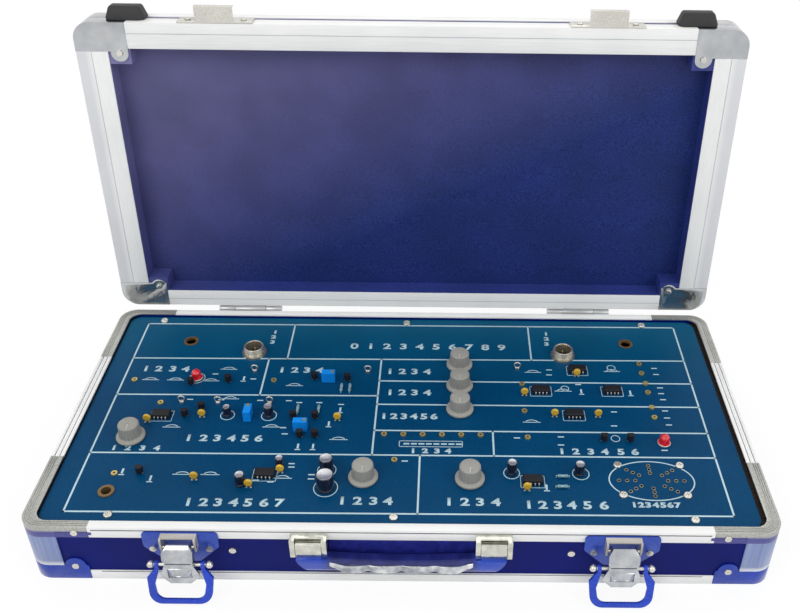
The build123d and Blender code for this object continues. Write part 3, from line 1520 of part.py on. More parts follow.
wave_length = 2 * handle_wave_half / handle_wave_count
handle_floor = handle_grip_low - handle_wave_depth
handle_neck = handle_bracket_low - handle_neck_drop
with BuildPart() as handle_grip:
    with BuildSketch(front_plane.offset(handle_grip_back)):
        with BuildLine():
            for half in (-1, 1):
                Polyline(
                    (half * ferrule_outer, handle_bracket_low),
                    (half * ferrule_inner, handle_bracket_low),
                    (half * ferrule_inner, handle_neck),
                )
            ThreePointArc(
                (-ferrule_inner, handle_neck),
                (0, handle_grip_top - handle_wave_depth),
                (ferrule_inner, handle_neck),
            )
            for half in (-1, 1):
                ThreePointArc(
                    (half * ferrule_outer, handle_bracket_low),
                    (half * (ferrule_outer - handle_shoulder), handle_shoulder_height),
                    (half * handle_wave_half, handle_grip_low),
                )
            for wave in range(handle_wave_count):
                right = handle_wave_half - wave * wave_length
                ThreePointArc(
                    (right, handle_grip_low),
                    (right - wave_length / 2, handle_floor),
                    (right - wave_length, handle_grip_low),
                )
        make_face()
    extrude(amount=handle_grip_front - handle_grip_back)
    with BuildSketch(side_plane(0)) as grip_section:
        with Locations((handle_grip_back, handle_floor)):
            Rectangle(
                handle_grip_front - handle_grip_back,
                handle_bracket_low - handle_floor,
                align=(Align.MIN, Align.MIN),
            )
        fillet(grip_section.vertices().group_by(Axis.Y)[0], handle_grip_round)
    extrude(amount=handle_half_width, both=True, mode=Mode.INTERSECT)
handle_grip.part.label = "handle_grip"
export_step(handle_grip.part, "parts/handle_grip.step")

# Glossy plate behind the handle, with its two rivets
with BuildPart() as handle_backplate:
    with BuildSketch(Plane.XZ.offset(wall_depth / 2)):
        with Locations((0, handle_plate_low)):
            Rectangle(
                2 * handle_plate_half_width,
                case_height - rim_lip_height - handle_plate_low,
                align=(Align.CENTER, Align.MIN),
            )
    extrude(amount=lip_metal)
    with BuildSketch(front_plane):
        with GridLocations(2 * handle_rivet_x, 0, 2, 1):
            with Locations((0, handle_rivet_height)):
                Circle(rivet_radius)
    extrude(amount=handle_rivet_proud)
handle_backplate.part.label = "handle_backplate"
export_step(handle_backplate.part, "parts/handle_backplate.step")
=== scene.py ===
"""Dressed scene of a modulation demodulation trainer in an aluminium framed case."""

import logging
import math
from collections.abc import Callable
from dataclasses import dataclass, field
from enum import Enum

import bmesh
import bpy
from mathutils import Matrix, Vector


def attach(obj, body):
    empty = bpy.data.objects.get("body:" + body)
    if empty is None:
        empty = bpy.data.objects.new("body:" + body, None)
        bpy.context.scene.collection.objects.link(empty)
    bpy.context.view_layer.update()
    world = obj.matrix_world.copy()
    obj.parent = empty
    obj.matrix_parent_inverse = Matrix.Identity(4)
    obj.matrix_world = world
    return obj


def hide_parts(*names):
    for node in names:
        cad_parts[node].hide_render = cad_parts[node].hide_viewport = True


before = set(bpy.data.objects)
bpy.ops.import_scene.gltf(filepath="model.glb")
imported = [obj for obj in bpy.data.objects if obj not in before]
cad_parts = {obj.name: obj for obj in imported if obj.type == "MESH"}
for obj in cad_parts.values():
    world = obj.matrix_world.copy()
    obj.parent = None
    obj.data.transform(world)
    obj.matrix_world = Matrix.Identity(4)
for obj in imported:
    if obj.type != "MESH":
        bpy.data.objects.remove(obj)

LOG = logging.getLogger("trainer")
MM = 0.001
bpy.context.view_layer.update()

Spot = tuple[float, float]
Point = tuple[float, float, float]
Colour = tuple[float, float, float]
PlaceTest = Callable[[Vector], bool]
FaceTest = Callable[[Vector, Vector], bool]

# What several sub-assemblies share on the board, in mm
BOARD_FACE = 43.5
SPEAKER_CENTRE = (157.8, -66.5)
CHIP_PLACES = (
    (-169.5, -10), (-89.5, -65), (81.5, -68.5), (122, 43.5), (93.5, 20), (144.5, 20.5), (114.5, -5.5),
)

# From this cosine on, a face counts as facing a direction
FACING = 0.9

# How every finish spreads its grain, its broad patches and its clear coat
GRAIN_SPAN = (0.32, 0.68)
PATCH_SPAN = (0.35, 0.65)
PATCH_SCALE = 22.0
BRUSH_STRETCH = 40
WOOD_STRETCH = 14
RELIEF_STRENGTH = 0.6
COAT_ROUGHNESS = 0.08


def paint(red: int, green: int, blue: int) -> Colour:
    """Turn a colour as seen on a screen, 0 to 255 each, into the linear values that shaders take.

    Args:
        red: Red as seen.
        green: Green as seen.
        blue: Blue as seen.

    Returns:
        The linear colour.
    """
    linear = []
    for value in (red, green, blue):
        share = value / 255
        linear.append(share / 12.92 if share <= 0.04045 else ((share + 0.055) / 1.055) ** 2.4)
    return (linear[0], linear[1], linear[2])


class Grain(Enum):
    """How the fine surface of a finish runs."""

    CAST = "cast"
    BRUSHED_X = "brushed_x"
    BRUSHED_Y = "brushed_y"
    BRUSHED_Z = "brushed_z"
    LINEN = "linen"
    PEBBLE = "pebble"
    WOOD = "wood"


class Along(Enum):
    """The direction in which a finish passes over into its second colour."""

    X = (1.0, 0.0, 0.0)
    Y = (0.0, 1.0, 0.0)
    Z = (0.0, 0.0, 1.0)
    # Used for the painted light that falls from the upper left
    UP_LEFT = (-0.5, 0.0, 1.0)


@dataclass(frozen=True)
class Change:
    """A second colour on one part of a piece, told by its place; on most finishes here it is painted light:
    painted blue reflection, painted shade or a painted lighter sheen.

    Attributes:
        along: Direction that is read.
        start: Where the second coat starts, in mm.
        end: Where it covers wholly, in mm.
        colour: Its colour.
        both_ways: Whether it lies the same on both sides of the middle.
    """

    along: Along
    start: float
    end: float
    colour: Colour
    both_ways: bool = False


@dataclass(frozen=True)
class Finish:
    """One surface finish of the trainer.

    Attributes:
        name: Name of the material.
        slot: Slot of the record that it belongs to; not used.
        colour: Main colour.
        shade: Colour of the grain's low places.
        metallic: 1 for bare metal, 0 for paint and plastic.
        rough: Least and greatest roughness.
        grain: How the fine surface runs.
        grain_size: Size of one grain, in mm.
        depth: Depth of the grain, in mm.
        coat: Weight of a clear coat.
        cloud: How strongly broad patches darken the colour.
        glow: Light that a lamp gives by itself.
        specular: Strength of the mirror image on paint and plastic.
        change: Second colour by place, if there is one; mostly painted reflection, painted shade or painted
            sheen.
    """

    name: str
    slot: str
    colour: Colour
    shade: Colour
    metallic: float = 0.0
    rough: tuple[float, float] = (0.35, 0.55)
    grain: Grain = Grain.CAST
    grain_size: float = 0.8
    depth: float = 0.02
    coat: float = 0.0
    cloud: float = 0.15
    glow: float = 0.0
    change: Change | None = None
    specular: float = 0.5

    def _stretch(self) -> Point:
        """Return the scale of the grain's pattern along X, Y and Z."""
        fine = 1 / (self.grain_size * MM)
        long = fine / BRUSH_STRETCH
        return {
            Grain.BRUSHED_X: (long, fine, fine),
            Grain.BRUSHED_Y: (fine, long, fine),
            Grain.BRUSHED_Z: (fine, fine, long),
            Grain.WOOD: (fine / WOOD_STRETCH, fine, fine),
        }.get(self.grain, (fine, fine, fine))

    def material(self) -> bpy.types.Material:
        """Make the finish as a node material, once.

        Returns:
            The material.
        """
        made = bpy.data.materials.get(self.name)
        if made:
            return made
        made = bpy.data.materials.new(self.name)
        made.use_nodes = True
        tree = made.node_tree
        tree.nodes.clear()
        new, link = tree.nodes.new, tree.links.new
        place = new("ShaderNodeTexCoord")
        stretch = new("ShaderNodeMapping")
        stretch.inputs["Scale"].default_value = self._stretch()
        link(place.outputs["Object"], stretch.inputs["Vector"])
        if self.grain is Grain.PEBBLE:
            fine = new("ShaderNodeTexVoronoi")
            fine.inputs["Scale"].default_value = 1.0
            height = fine.outputs["Distance"]
        else:
            fine = new("ShaderNodeTexNoise")
            fine.inputs["Scale"].default_value = 1.0
            fine.inputs["Detail"].default_value = 5.0 if self.grain is Grain.LINEN else 3.0
            height = fine.outputs["Fac"]
        link(stretch.outputs["Vector"], fine.inputs["Vector"])
        ramp = new("ShaderNodeValToRGB")
        ramp.color_ramp.elements[0].position = GRAIN_SPAN[0]
        ramp.color_ramp.elements[0].color = (*self.shade, 1)
        ramp.color_ramp.elements[1].position = GRAIN_SPAN[1]
        ramp.color_ramp.elements[1].color = (*self.colour, 1)
        link(height, ramp.inputs["Fac"])
        broad = new("ShaderNodeTexNoise")
        broad.inputs["Scale"].default_value = PATCH_SCALE
        broad.inputs["Detail"].default_value = 2.0
        link(place.outputs["Object"], broad.inputs["Vector"])
        patch = new("ShaderNodeMapRange")
        patch.inputs["From Min"].default_value = PATCH_SPAN[0]
        patch.inputs["From Max"].default_value = PATCH_SPAN[1]
        patch.inputs["To Min"].default_value = 1 - self.cloud
        patch.inputs["To Max"].default_value = 1.0
        link(broad.outputs["Fac"], patch.inputs["Value"])
        colour = ramp.outputs["Color"]
        if self.change:
            colour = self._second_colour(tree, place, colour)
        clouded = new("ShaderNodeVectorMath")
        clouded.operation = "SCALE"
        link(colour, clouded.inputs[0])
        link(patch.outputs["Result"], clouded.inputs["Scale"])
        sheen = new("ShaderNodeMapRange")
        sheen.inputs["To Min"].default_value = self.rough[0]
        sheen.inputs["To Max"].default_value = self.rough[1]
        link(height, sheen.inputs["Value"])
        relief = new("ShaderNodeBump")
        relief.inputs["Strength"].default_value = RELIEF_STRENGTH
        relief.inputs["Distance"].default_value = self.depth * MM
        link(height, relief.inputs["Height"])
        shader = new("ShaderNodeBsdfPrincipled")
        shader.inputs["Metallic"].default_value = self.metallic
        shader.inputs["Specular IOR Level"].default_value = self.specular
        shader.inputs["Coat Weight"].default_value = self.coat
        shader.inputs["Coat Roughness"].default_value = COAT_ROUGHNESS
        if self.glow:
            shader.inputs["Emission Color"].default_value = (*self.colour, 1)
            shader.inputs["Emission Strength"].default_value = self.glow
        link(clouded.outputs["Vector"], shader.inputs["Base Color"])
        link(sheen.outputs["Result"], shader.inputs["Roughness"])
        link(relief.outputs["Normal"], shader.inputs["Normal"])
        output = new("ShaderNodeOutputMaterial")
        link(shader.outputs["BSDF"], output.inputs["Surface"])
        return made

    def _second_colour(
        self,
        tree: bpy.types.NodeTree,
        place: bpy.types.Node,
        colour: bpy.types.NodeSocket,
    ) -> bpy.types.NodeSocket:
        """Lay the second colour over the colour, by place.

        Args:
            tree: Node tree of the material.
            place: Texture coordinate node.
            colour: Colour so far.

        Returns:
            The colour with the second colour laid on it.
        """
        new, link = tree.nodes.new, tree.links.new
        reach = new("ShaderNodeVectorMath")
        reach.operation = "DOT_PRODUCT"
        reach.inputs[1].default_value = self.change.along.value
        link(place.outputs["Object"], reach.inputs[0])
        reading = reach.outputs["Value"]
        if self.change.both_ways:
            size = new("ShaderNodeMath")
            size.operation = "ABSOLUTE"
            link(reading, size.inputs[0])
            reading = size.outputs["Value"]
        share = new("ShaderNodeMapRange")
        share.inputs["From Min"].default_value = self.change.start * MM
        share.inputs["From Max"].default_value = self.change.end * MM
        link(reading, share.inputs["Value"])
        over = new("ShaderNodeMix")
        over.data_type = "RGBA"
        link(share.outputs["Result"], over.inputs["Factor"])
        link(colour, over.inputs["A"])
        over.inputs["B"].default_value = (*self.change.colour, 1)
        return over.outputs["Result"]


RAIL_LIGHT = paint(255, 255, 252)
RAIL_SHADE = paint(247, 248, 246)
RAIL_ALONG = Finish(
    "rail_along", "silver_rail", colour=RAIL_LIGHT, shade=RAIL_SHADE,
    rough=(0.3, 0.44), grain=Grain.BRUSHED_X, grain_size=0.6, depth=0.006, cloud=0.05,
)
# The lid's side rails turn darker from 219 to 224 mm out from the middle: painted shade of the rail's
# rounded outer edge
RAIL_UPWARD = Finish(
    "rail_upward", "silver_rail", colour=RAIL_LIGHT, shade=RAIL_SHADE,
    rough=(0.3, 0.44), grain=Grain.BRUSHED_Z, grain_size=0.6, depth=0.006, cloud=0.05,
    change=Change(Along.X, 219, 224, paint(226, 227, 229), True),
)
RAIL_INWARD = Finish(
    "rail_inward", "silver_rail", colour=RAIL_LIGHT, shade=RAIL_SHADE,
    rough=(0.3, 0.44), grain=Grain.BRUSHED_Y, grain_size=0.6, depth=0.006, cloud=0.05,
)
# Below 43.5 to 41.5 mm the rim caps turn indigo: painted reflection of a blue surface below, on silver
# metal
CAP_METAL = Finish(
    "cap_metal", "silver_cap", colour=paint(196, 196, 190), shade=paint(170, 170, 166),
    metallic=0.8, rough=(0.24, 0.42), grain_size=1.2,
    change=Change(Along.Z, 43.5, 41.5, paint(92, 92, 158)),
)
# The corner posts' blue-grey is painted reflection of a blue surface below, on silver metal; below 16 to
# 13.5 mm they turn near white
POST_BLUE_REFLECTION = Finish(
    "post_blue_reflection", "corner_post", colour=paint(150, 164, 204), shade=paint(122, 138, 190),
    metallic=0.2, rough=(0.25, 0.4), grain=Grain.BRUSHED_Z, grain_size=1.6, depth=0.01, coat=0.2,
    change=Change(Along.Z, 16, 13.5, paint(226, 230, 240)),
)
# The blue of the base's corner balls is painted reflection of a blue surface below, on silver metal
BALL_BLUE = Finish(
    "ball_blue", "blue_corner", colour=paint(24, 66, 184), shade=paint(18, 56, 168),
    metallic=0.2, rough=(0.2, 0.34), grain_size=3, coat=0.4, specular=0.3,
)
CORNER_SILVER = Finish(
    "corner_silver", "silver_corner", colour=paint(200, 202, 204), shade=paint(176, 179, 183),
    metallic=0.95, rough=(0.12, 0.22), grain_size=16, depth=1.2,
)
RIVET_BRIGHT = Finish(
    "rivet_bright", "bright_rivet", colour=paint(232, 230, 222), shade=paint(200, 197, 188),
    metallic=0.85, rough=(0.18, 0.3), grain_size=0.5, depth=0.01,
)
WALL_NAVY = Finish(
    "wall_navy", "blue_wall", colour=paint(5, 22, 122), shade=paint(3, 15, 98),
    rough=(0.45, 0.6), grain=Grain.PEBBLE, grain_size=0.7, cloud=0.2, specular=0.12,
)
BOARD_BLACK = Finish(
    "board_black", "black_board", colour=paint(40, 40, 46), shade=paint(24, 24, 28),
    rough=(0.6, 0.8), grain=Grain.PEBBLE, grain_size=0.9, depth=0.05,
)
BEARER_DARK = Finish(
    "bearer_stained", "wood_bearer", colour=paint(62, 52, 44), shade=paint(38, 31, 26),
    rough=(0.6, 0.8), grain=Grain.WOOD, depth=0.05, specular=0.2,
)
# The board turns lighter and greener towards its back, from 20 to 112 mm along Y
BOARD_MASK = Finish(
    "board_mask", "board_blue", colour=paint(0, 73, 116), shade=paint(0, 65, 107),
    rough=(0.3, 0.4), grain_size=1.6, depth=0.006, cloud=0.12,
    change=Change(Along.Y, 20, 112, paint(6, 92, 128)), specular=0.08,
)
PRINT_WHITE = Finish(
    "print_white", "board_blue", colour=paint(206, 232, 238), shade=paint(186, 218, 228),
    rough=(0.5, 0.6), grain_size=0.5, depth=0.004,
)
SOCKET_NICKEL = Finish(
    "socket_nickel", "socket_metal", colour=paint(222, 217, 204), shade=paint(186, 181, 168),
    metallic=0.85, rough=(0.2, 0.36), grain_size=0.6, depth=0.01,
)
INSERT_DARK = Finish(
    "insert_dark", "eyelet_brown", colour=paint(58, 44, 34), shade=paint(34, 26, 20),
    rough=(0.45, 0.6), grain_size=0.5, depth=0.01,
)
EYELET_BROWN = Finish(
    "eyelet_brown_rim", "eyelet_brown", colour=paint(146, 118, 78), shade=paint(106, 82, 54),
    metallic=0.4, rough=(0.35, 0.5), grain_size=0.4, depth=0.01,
)
FRAME_STEEL = Finish(
    "frame_steel", "steel_frame", colour=paint(70, 72, 76), shade=paint(48, 50, 54),
    metallic=0.6, rough=(0.4, 0.55),
)
CONE_PAPER = Finish(
    "cone_paper", "paper_cone", colour=paint(44, 44, 44), shade=paint(26, 26, 26),
    rough=(0.8, 0.95), grain=Grain.LINEN, grain_size=0.4, depth=0.04,
)
LAMP_RED = Finish(
    "lamp_red_resin", "lamp_red", colour=paint(220, 20, 34), shade=paint(196, 8, 22),
    rough=(0.08, 0.14), grain_size=1.5, depth=0.002, coat=0.8, cloud=0.0, glow=0.12,
)
LAMP_RING = Finish(
    "lamp_ring", "bright_rivet", colour=paint(226, 226, 226), shade=paint(190, 190, 192),
    metallic=0.5, rough=(0.3, 0.4), grain_size=0.4, depth=0.005,
)
CHIP_BLACK = Finish(
    "chip_black", "black_plastic", colour=paint(36, 36, 40), shade=paint(22, 22, 26),
    rough=(0.42, 0.6), grain_size=0.25, depth=0.01, specular=0.3,
)
CAN_SLEEVE = Finish(
    "can_sleeve", "can_black", colour=paint(30, 34, 56), shade=paint(18, 20, 38),
    rough=(0.22, 0.34), grain=Grain.BRUSHED_Z, depth=0.006, coat=0.4,
)
CAN_TOP = Finish(
    "can_top", "bright_rivet", colour=paint(222, 223, 224), shade=paint(190, 192, 196),
    metallic=0.85, rough=(0.22, 0.38), grain_size=0.5, depth=0.01,
)
TRIMMER_BLUE = Finish(
    "trimmer_case", "trimmer_blue", colour=paint(22, 158, 255), shade=paint(14, 140, 246),
    rough=(0.26, 0.4), grain_size=0.6, depth=0.008, coat=0.2, specular=0.3,
)
GOLD_PLATE = Finish(
    "gold_plate", "gold_ring", colour=paint(236, 214, 142), shade=paint(208, 180, 104),
    metallic=0.7, rough=(0.24, 0.4), grain_size=0.4, depth=0.006,
)
RESISTOR_LACQUER = Finish(
    "resistor_lacquer", "resistor_blue", colour=paint(160, 206, 214), shade=paint(136, 186, 198),
    rough=(0.25, 0.4), grain_size=0.5, depth=0.01, coat=0.3,
)
BAND_BROWN = Finish(
    "band_brown", "eyelet_brown", colour=paint(104, 52, 24), shade=paint(84, 40, 18),
    rough=(0.3, 0.4), grain_size=0.3, depth=0.004,
)
DISC_YELLOW = Finish(
    "disc_coating", "disc_yellow", colour=paint(240, 200, 66), shade=paint(220, 172, 42),
    rough=(0.3, 0.45), depth=0.03, coat=0.2,
)
# The latch plates' blue is painted reflection of a blue surface below; their frontmost faces, past -113.5
# mm along Y, turn silver
PLATE_BLUE = Finish(
    "plate_blue", "blue_plate", colour=paint(44, 82, 192), shade=paint(36, 70, 176),
    metallic=0.4, rough=(0.24, 0.38), grain_size=2.5, depth=0.01, coat=0.2,
    change=Change(Along.Y, -113.5, -113.8, paint(186, 182, 176)),
)
BRACKET_CHROME = Finish(
    "bracket_chrome", "chrome_bracket", colour=paint(226, 226, 214), shade=paint(196, 196, 186),
    metallic=0.95, rough=(0.1, 0.22), grain_size=6, depth=0.25,
)
# The grip's ends, past 42 to 48 mm from the middle, turn bright blue: painted reflection of a blue surface
# below
GRIP_BLUE = Finish(
    "grip_blue", "handle_silver", colour=paint(40, 48, 128), shade=paint(26, 33, 100),
    metallic=0.1, rough=(0.16, 0.26), grain_size=5, depth=0.3, coat=0.4,
    change=Change(Along.X, 42, 48, paint(26, 70, 192), True), specular=0.3,
)
GRIP_BAND = Finish(
    "grip_band", "handle_silver", colour=paint(226, 228, 230), shade=paint(150, 154, 162),
    metallic=0.95, rough=(0.08, 0.18), grain_size=7, depth=0.5,
)
PLATE_GLOSS = Finish(
    "plate_gloss", "blue_gloss", colour=paint(38, 46, 142), shade=paint(26, 32, 112),
    rough=(0.12, 0.22), grain_size=6, depth=0.05, coat=0.5, specular=0.3,
)
HINGE_METAL = Finish(
    "hinge_metal", "hinge_steel", colour=paint(200, 201, 202), shade=paint(170, 172, 175),
    metallic=0.9, rough=(0.25, 0.4), grain=Grain.BRUSHED_X, grain_size=0.5, depth=0.01,
)
# The lining turns lighter and greyer towards the upper left: painted light, as it falls from that side
LINING_NAVY = Finish(
    "lining_navy", "lid_lining", colour=paint(38, 60, 134), shade=paint(16, 33, 93),
    rough=(0.5, 0.65), grain=Grain.LINEN, grain_size=1.1, depth=0.06, cloud=0.2,
    change=Change(Along.UP_LEFT, 120, 390, paint(119, 114, 158)), specular=0.25,
)
# A lighter copy of the lining for the recess's walls: painted light that evens out their shade; it also
# turns lighter towards the upper left
LINING_WALL_LIGHTENED = Finish(
    "lining_wall_lightened", "lid_lining", colour=paint(58, 76, 156), shade=paint(40, 54, 126),
    rough=(0.5, 0.65), grain=Grain.LINEN, grain_size=1.1, depth=0.06, cloud=0.2,
    change=Change(Along.UP_LEFT, 120, 390, paint(140, 134, 178)), specular=0.25,
)
RUBBER_BLACK = Finish(
    "rubber_black", "black_rubber", colour=paint(50, 50, 52), shade=paint(30, 30, 32),
    rough=(0.5, 0.7), grain_size=0.6, depth=0.03,
)
KNOB_GREY = Finish(
    "knob_plastic", "knob_grey", colour=paint(172, 171, 164), shade=paint(154, 153, 146),
    rough=(0.4, 0.55), grain_size=0.4, depth=0.01, cloud=0.1,
)
POINTER_PALE = Finish(
    "pointer_pale", "knob_grey", colour=paint(214, 213, 208), shade=paint(200, 199, 194),
    rough=(0.4, 0.5), grain_size=0.3, depth=0.004,
)
LEVER_CHROME = Finish(
    "lever_chrome", "lever_silver", colour=paint(206, 208, 211), shade=paint(176, 179, 184),
    metallic=0.95, rough=(0.12, 0.24), grain_size=7, depth=0.25,
)
# The bails' blue is painted reflection of a blue surface below, on silver metal
BAIL_BLUE = Finish(
    "bail_blue_reflection", "bail_blue", colour=paint(26, 72, 206), shade=paint(20, 62, 190),
    metallic=0.2, rough=(0.2, 0.34), grain_size=2, coat=0.4, specular=0.3,
)
# The straps' indigo is painted reflection of a blue surface below, on metal
STRAP_INDIGO = Finish(
    "strap_indigo", "blue_corner", colour=paint(70, 70, 156), shade=paint(52, 52, 130),
    metallic=0.3, rough=(0.24, 0.4), grain_size=2, coat=0.3,
)
# Dark strips on the rails' seams and grooves and across the levers' waists: the seam lines, with painted
# shade for their darkness
SEAM_DARK = Finish(
    "seam_dark", "black_board", colour=paint(84, 88, 104), shade=paint(60, 64, 80),
    rough=(0.6, 0.8), grain_size=0.5, depth=0.005,
)
# Soft grey strips along the lid's rails: seam lines, with painted shade for their darkness
SEAM_SOFT = Finish(
    "seam_soft", "silver_rail", colour=paint(206, 209, 213), shade=paint(190, 193, 198),
    metallic=0.2, rough=(0.4, 0.6), grain_size=0.5, depth=0.005,
)


class Bench:
    """The tools that shape and place every piece."""

    @staticmethod
    def clear() -> None:
        """Go back to object mode with nothing selected."""
        if bpy.context.object and bpy.context.object.mode != "OBJECT":
            bpy.ops.object.mode_set(mode="OBJECT")
        bpy.ops.object.select_all(action="DESELECT")

    @staticmethod
    def hold(piece: bpy.types.Object) -> None:
        """Select one piece alone and make it the active one.

        Args:
            piece: The piece.
        """
        Bench.clear()
        piece.select_set(True)
        bpy.context.view_layer.objects.active = piece

    @staticmethod
    def choose(piece: bpy.types.Object, wanted: FaceTest) -> None:
        """Open a piece in edit mode and select the faces that a test picks.

        Args:
            piece: The piece.
            wanted: Test that takes a face's middle and normal.
        """
        if bpy.context.object is not piece or piece.mode != "EDIT":
            Bench.hold(piece)
            bpy.ops.object.mode_set(mode="EDIT")
        bpy.ops.mesh.select_mode(type="FACE")
        bpy.ops.mesh.select_all(action="DESELECT")
        mesh = bmesh.from_edit_mesh(piece.data)
        for face in mesh.faces:
            face.select = bool(wanted(face.calc_center_median(), face.normal))
        mesh.select_flush(True)
        bmesh.update_edit_mesh(piece.data)

    @staticmethod
    def settle(piece: bpy.types.Object) -> None:
        """Put a piece's place into its mesh, so that its object sits at the origin."""
        Bench.hold(piece)
        bpy.ops.object.transform_apply(location=True, rotation=True, scale=True)

    @staticmethod
    def modify(piece: bpy.types.Object, kind: str, **settings: object) -> None:
        """Add a modifier and apply it.

        Args:
            piece: The piece.
            kind: Kind of modifier.
            settings: Its settings.
        """
        Bench.hold(piece)
        modifier = piece.modifiers.new(kind.lower(), kind)
        for name, value in settings.items():
            setattr(modifier, name, value)
        bpy.ops.object.modifier_apply(modifier=modifier.name)

    @staticmethod
    def round_outline(
        piece: bpy.types.Object, through: Point, width: float, wanted: PlaceTest | None = None,
    ) -> None:
        """Round the corners of a flat piece's outline.

        Args:
            piece: The piece.
            through: Direction straight through it.
            width: Width of the rounding, in mm.
            wanted: Test that takes a corner's middle, in mm, where not all corners are meant.
        """
        Bench.hold(piece)
        bpy.ops.object.mode_set(mode="EDIT")
        bpy.ops.mesh.select_mode(type="EDGE")
        bpy.ops.mesh.select_all(action="DESELECT")
        mesh = bmesh.from_edit_mesh(piece.data)
        for edge in mesh.edges:
            start, end = (corner.co for corner in edge.verts)
            straight = abs((end - start).normalized().dot(Vector(through))) > 0.99
            edge.select = straight and (wanted is None or wanted((start + end) / 2 / MM))
        bmesh.update_edit_mesh(piece.data)
        bpy.ops.mesh.bevel(offset=width * MM, segments=6, affect="EDGES", clamp_overlap=True)
        bpy.ops.object.mode_set(mode="OBJECT")

    @staticmethod
    def face_out(piece: bpy.types.Object) -> None:
        """Turn all faces of a closed piece outwards."""
        Bench.hold(piece)
        bpy.ops.object.mode_set(mode="EDIT")
        bpy.ops.mesh.select_all(action="SELECT")
        bpy.ops.mesh.normals_make_consistent(inside=False)
        bpy.ops.object.mode_set(mode="OBJECT")

    @staticmethod
    def smooth(piece: bpy.types.Object, angle: float = 35) -> None:
        """Shade a piece smooth where its faces meet at less than an angle, in degrees."""
        Bench.hold(piece)
        bpy.ops.object.shade_smooth_by_angle(angle=math.radians(angle))

    @staticmethod
    def coat_where(piece: bpy.types.Object, finish: Finish, wanted: PlaceTest) -> None:
        """Give some faces of a finished piece another finish.

        Args:
            piece: The piece, with its main finish on.
            finish: The other finish.
            wanted: Test that takes a face's middle, in mm.
        """
        piece.data.materials.append(finish.material())
        last = len(piece.data.materials) - 1
        for face in piece.data.polygons:
            if wanted(face.center / MM):
                face.material_index = last

    @staticmethod
    def skin(name: str, rings: list[list[Point]]) -> bpy.types.Object:
        """Stretch a closed skin over a row of rings, each with the same number of points.

        Args:
            name: Name of the piece.
            rings: The rings, in mm.

        Returns:
            The piece.
        """
        Bench.clear()
        mesh = bmesh.new()
        rows = [[mesh.verts.new([v * MM for v in point]) for point in ring] for ring in rings]
        count = len(rows[0])
        for row, following in zip(rows, rows[1:]):
            for step in range(count):
                after = (step + 1) % count
                mesh.faces.new((row[step], row[after], following[after], following[step]))
        mesh.faces.new(rows[0])
        mesh.faces.new(rows[-1])
        data = bpy.data.meshes.new(name)
        mesh.to_mesh(data)
        mesh.free()
        piece = bpy.data.objects.new(name, data)
        bpy.context.collection.objects.link(piece)
        Bench.face_out(piece)
        return piece

    @staticmethod
    def block(
        name: str, centre: Point, size: Point, round_off: float = 0.0, segments: int = 2,
    ) -> bpy.types.Object:
        """Cut a block with rounded edges.

        Args:
            name: Name of the piece.
            centre: Its middle, in mm.
            size: Its size along X, Y and Z, in mm.
            round_off: Width of the rounding, in mm.
            segments: Steps of the rounding.

        Returns:
            The block.
        """
        Bench.clear()
        bpy.ops.mesh.primitive_cube_add(size=1, location=[v * MM for v in centre])
        piece = bpy.context.object
        piece.name = name
        piece.scale = [v * MM for v in size]
        Bench.settle(piece)
        if round_off:
            bpy.ops.object.mode_set(mode="EDIT")
            bpy.ops.mesh.select_all(action="SELECT")
            bpy.ops.mesh.bevel(offset=round_off * MM, segments=segments, affect="EDGES")
            bpy.ops.object.mode_set(mode="OBJECT")
        return piece

    @staticmethod
    def disc(
        name: str, centre: Point, radius: float, height: float, sides: int = 40, round_off: float = 0.0,
    ) -> bpy.types.Object:
        """Turn a round piece that stands on its centre.

        Args:
            name: Name of the piece.
            centre: Middle of its foot, in mm.
            radius: Its radius, in mm.
            height: Its height, in mm.
            sides: Sides of the round.
            round_off: Width of the rounding of its top rim, in mm.

        Returns:
            The piece.
        """
        Bench.clear()
        middle = (centre[0] * MM, centre[1] * MM, (centre[2] + height / 2) * MM)
        bpy.ops.mesh.primitive_cylinder_add(
            vertices=sides, radius=radius * MM, depth=height * MM, location=middle,
        )
        piece = bpy.context.object
        piece.name = name
        Bench.settle(piece)
        if round_off:
            Bench.choose(piece, lambda place, normal: normal.z > FACING)
            bpy.ops.mesh.inset(thickness=round_off * MM)
            bpy.ops.transform.translate(value=(0, 0, round_off * 0.6 * MM))
            bpy.ops.object.mode_set(mode="OBJECT")
        return piece

    @staticmethod
    def ring(name: str, centre: Point, radius: float, wire: float, sides: int = 36) -> bpy.types.Object:
        """Bend a round wire into a level ring.

        Args:
            name: Name of the piece.
            centre: Its middle, in mm.
            radius: Radius of its middle line, in mm.
            wire: Radius of the wire, in mm.
            sides: Steps round the ring.

        Returns:
            The ring.
        """
        Bench.clear()
        bpy.ops.mesh.primitive_torus_add(
            major_segments=sides, minor_segments=8, major_radius=radius * MM, minor_radius=wire * MM,
            location=[v * MM for v in centre],
        )
        piece = bpy.context.object
        piece.name = name
        Bench.settle(piece)
        return piece

    @staticmethod
    def join(name: str, pieces: list[bpy.types.Object]) -> bpy.types.Object:
        """Make one piece of several.

        Args:
            name: Name of the joined piece.
            pieces: The pieces.

        Returns:
            The joined piece.
        """
        Bench.clear()
        for piece in pieces:
            piece.select_set(True)
        bpy.context.view_layer.objects.active = pieces[0]
        if len(pieces) > 1:
            bpy.ops.object.join()
        pieces[0].name = name
        return pieces[0]

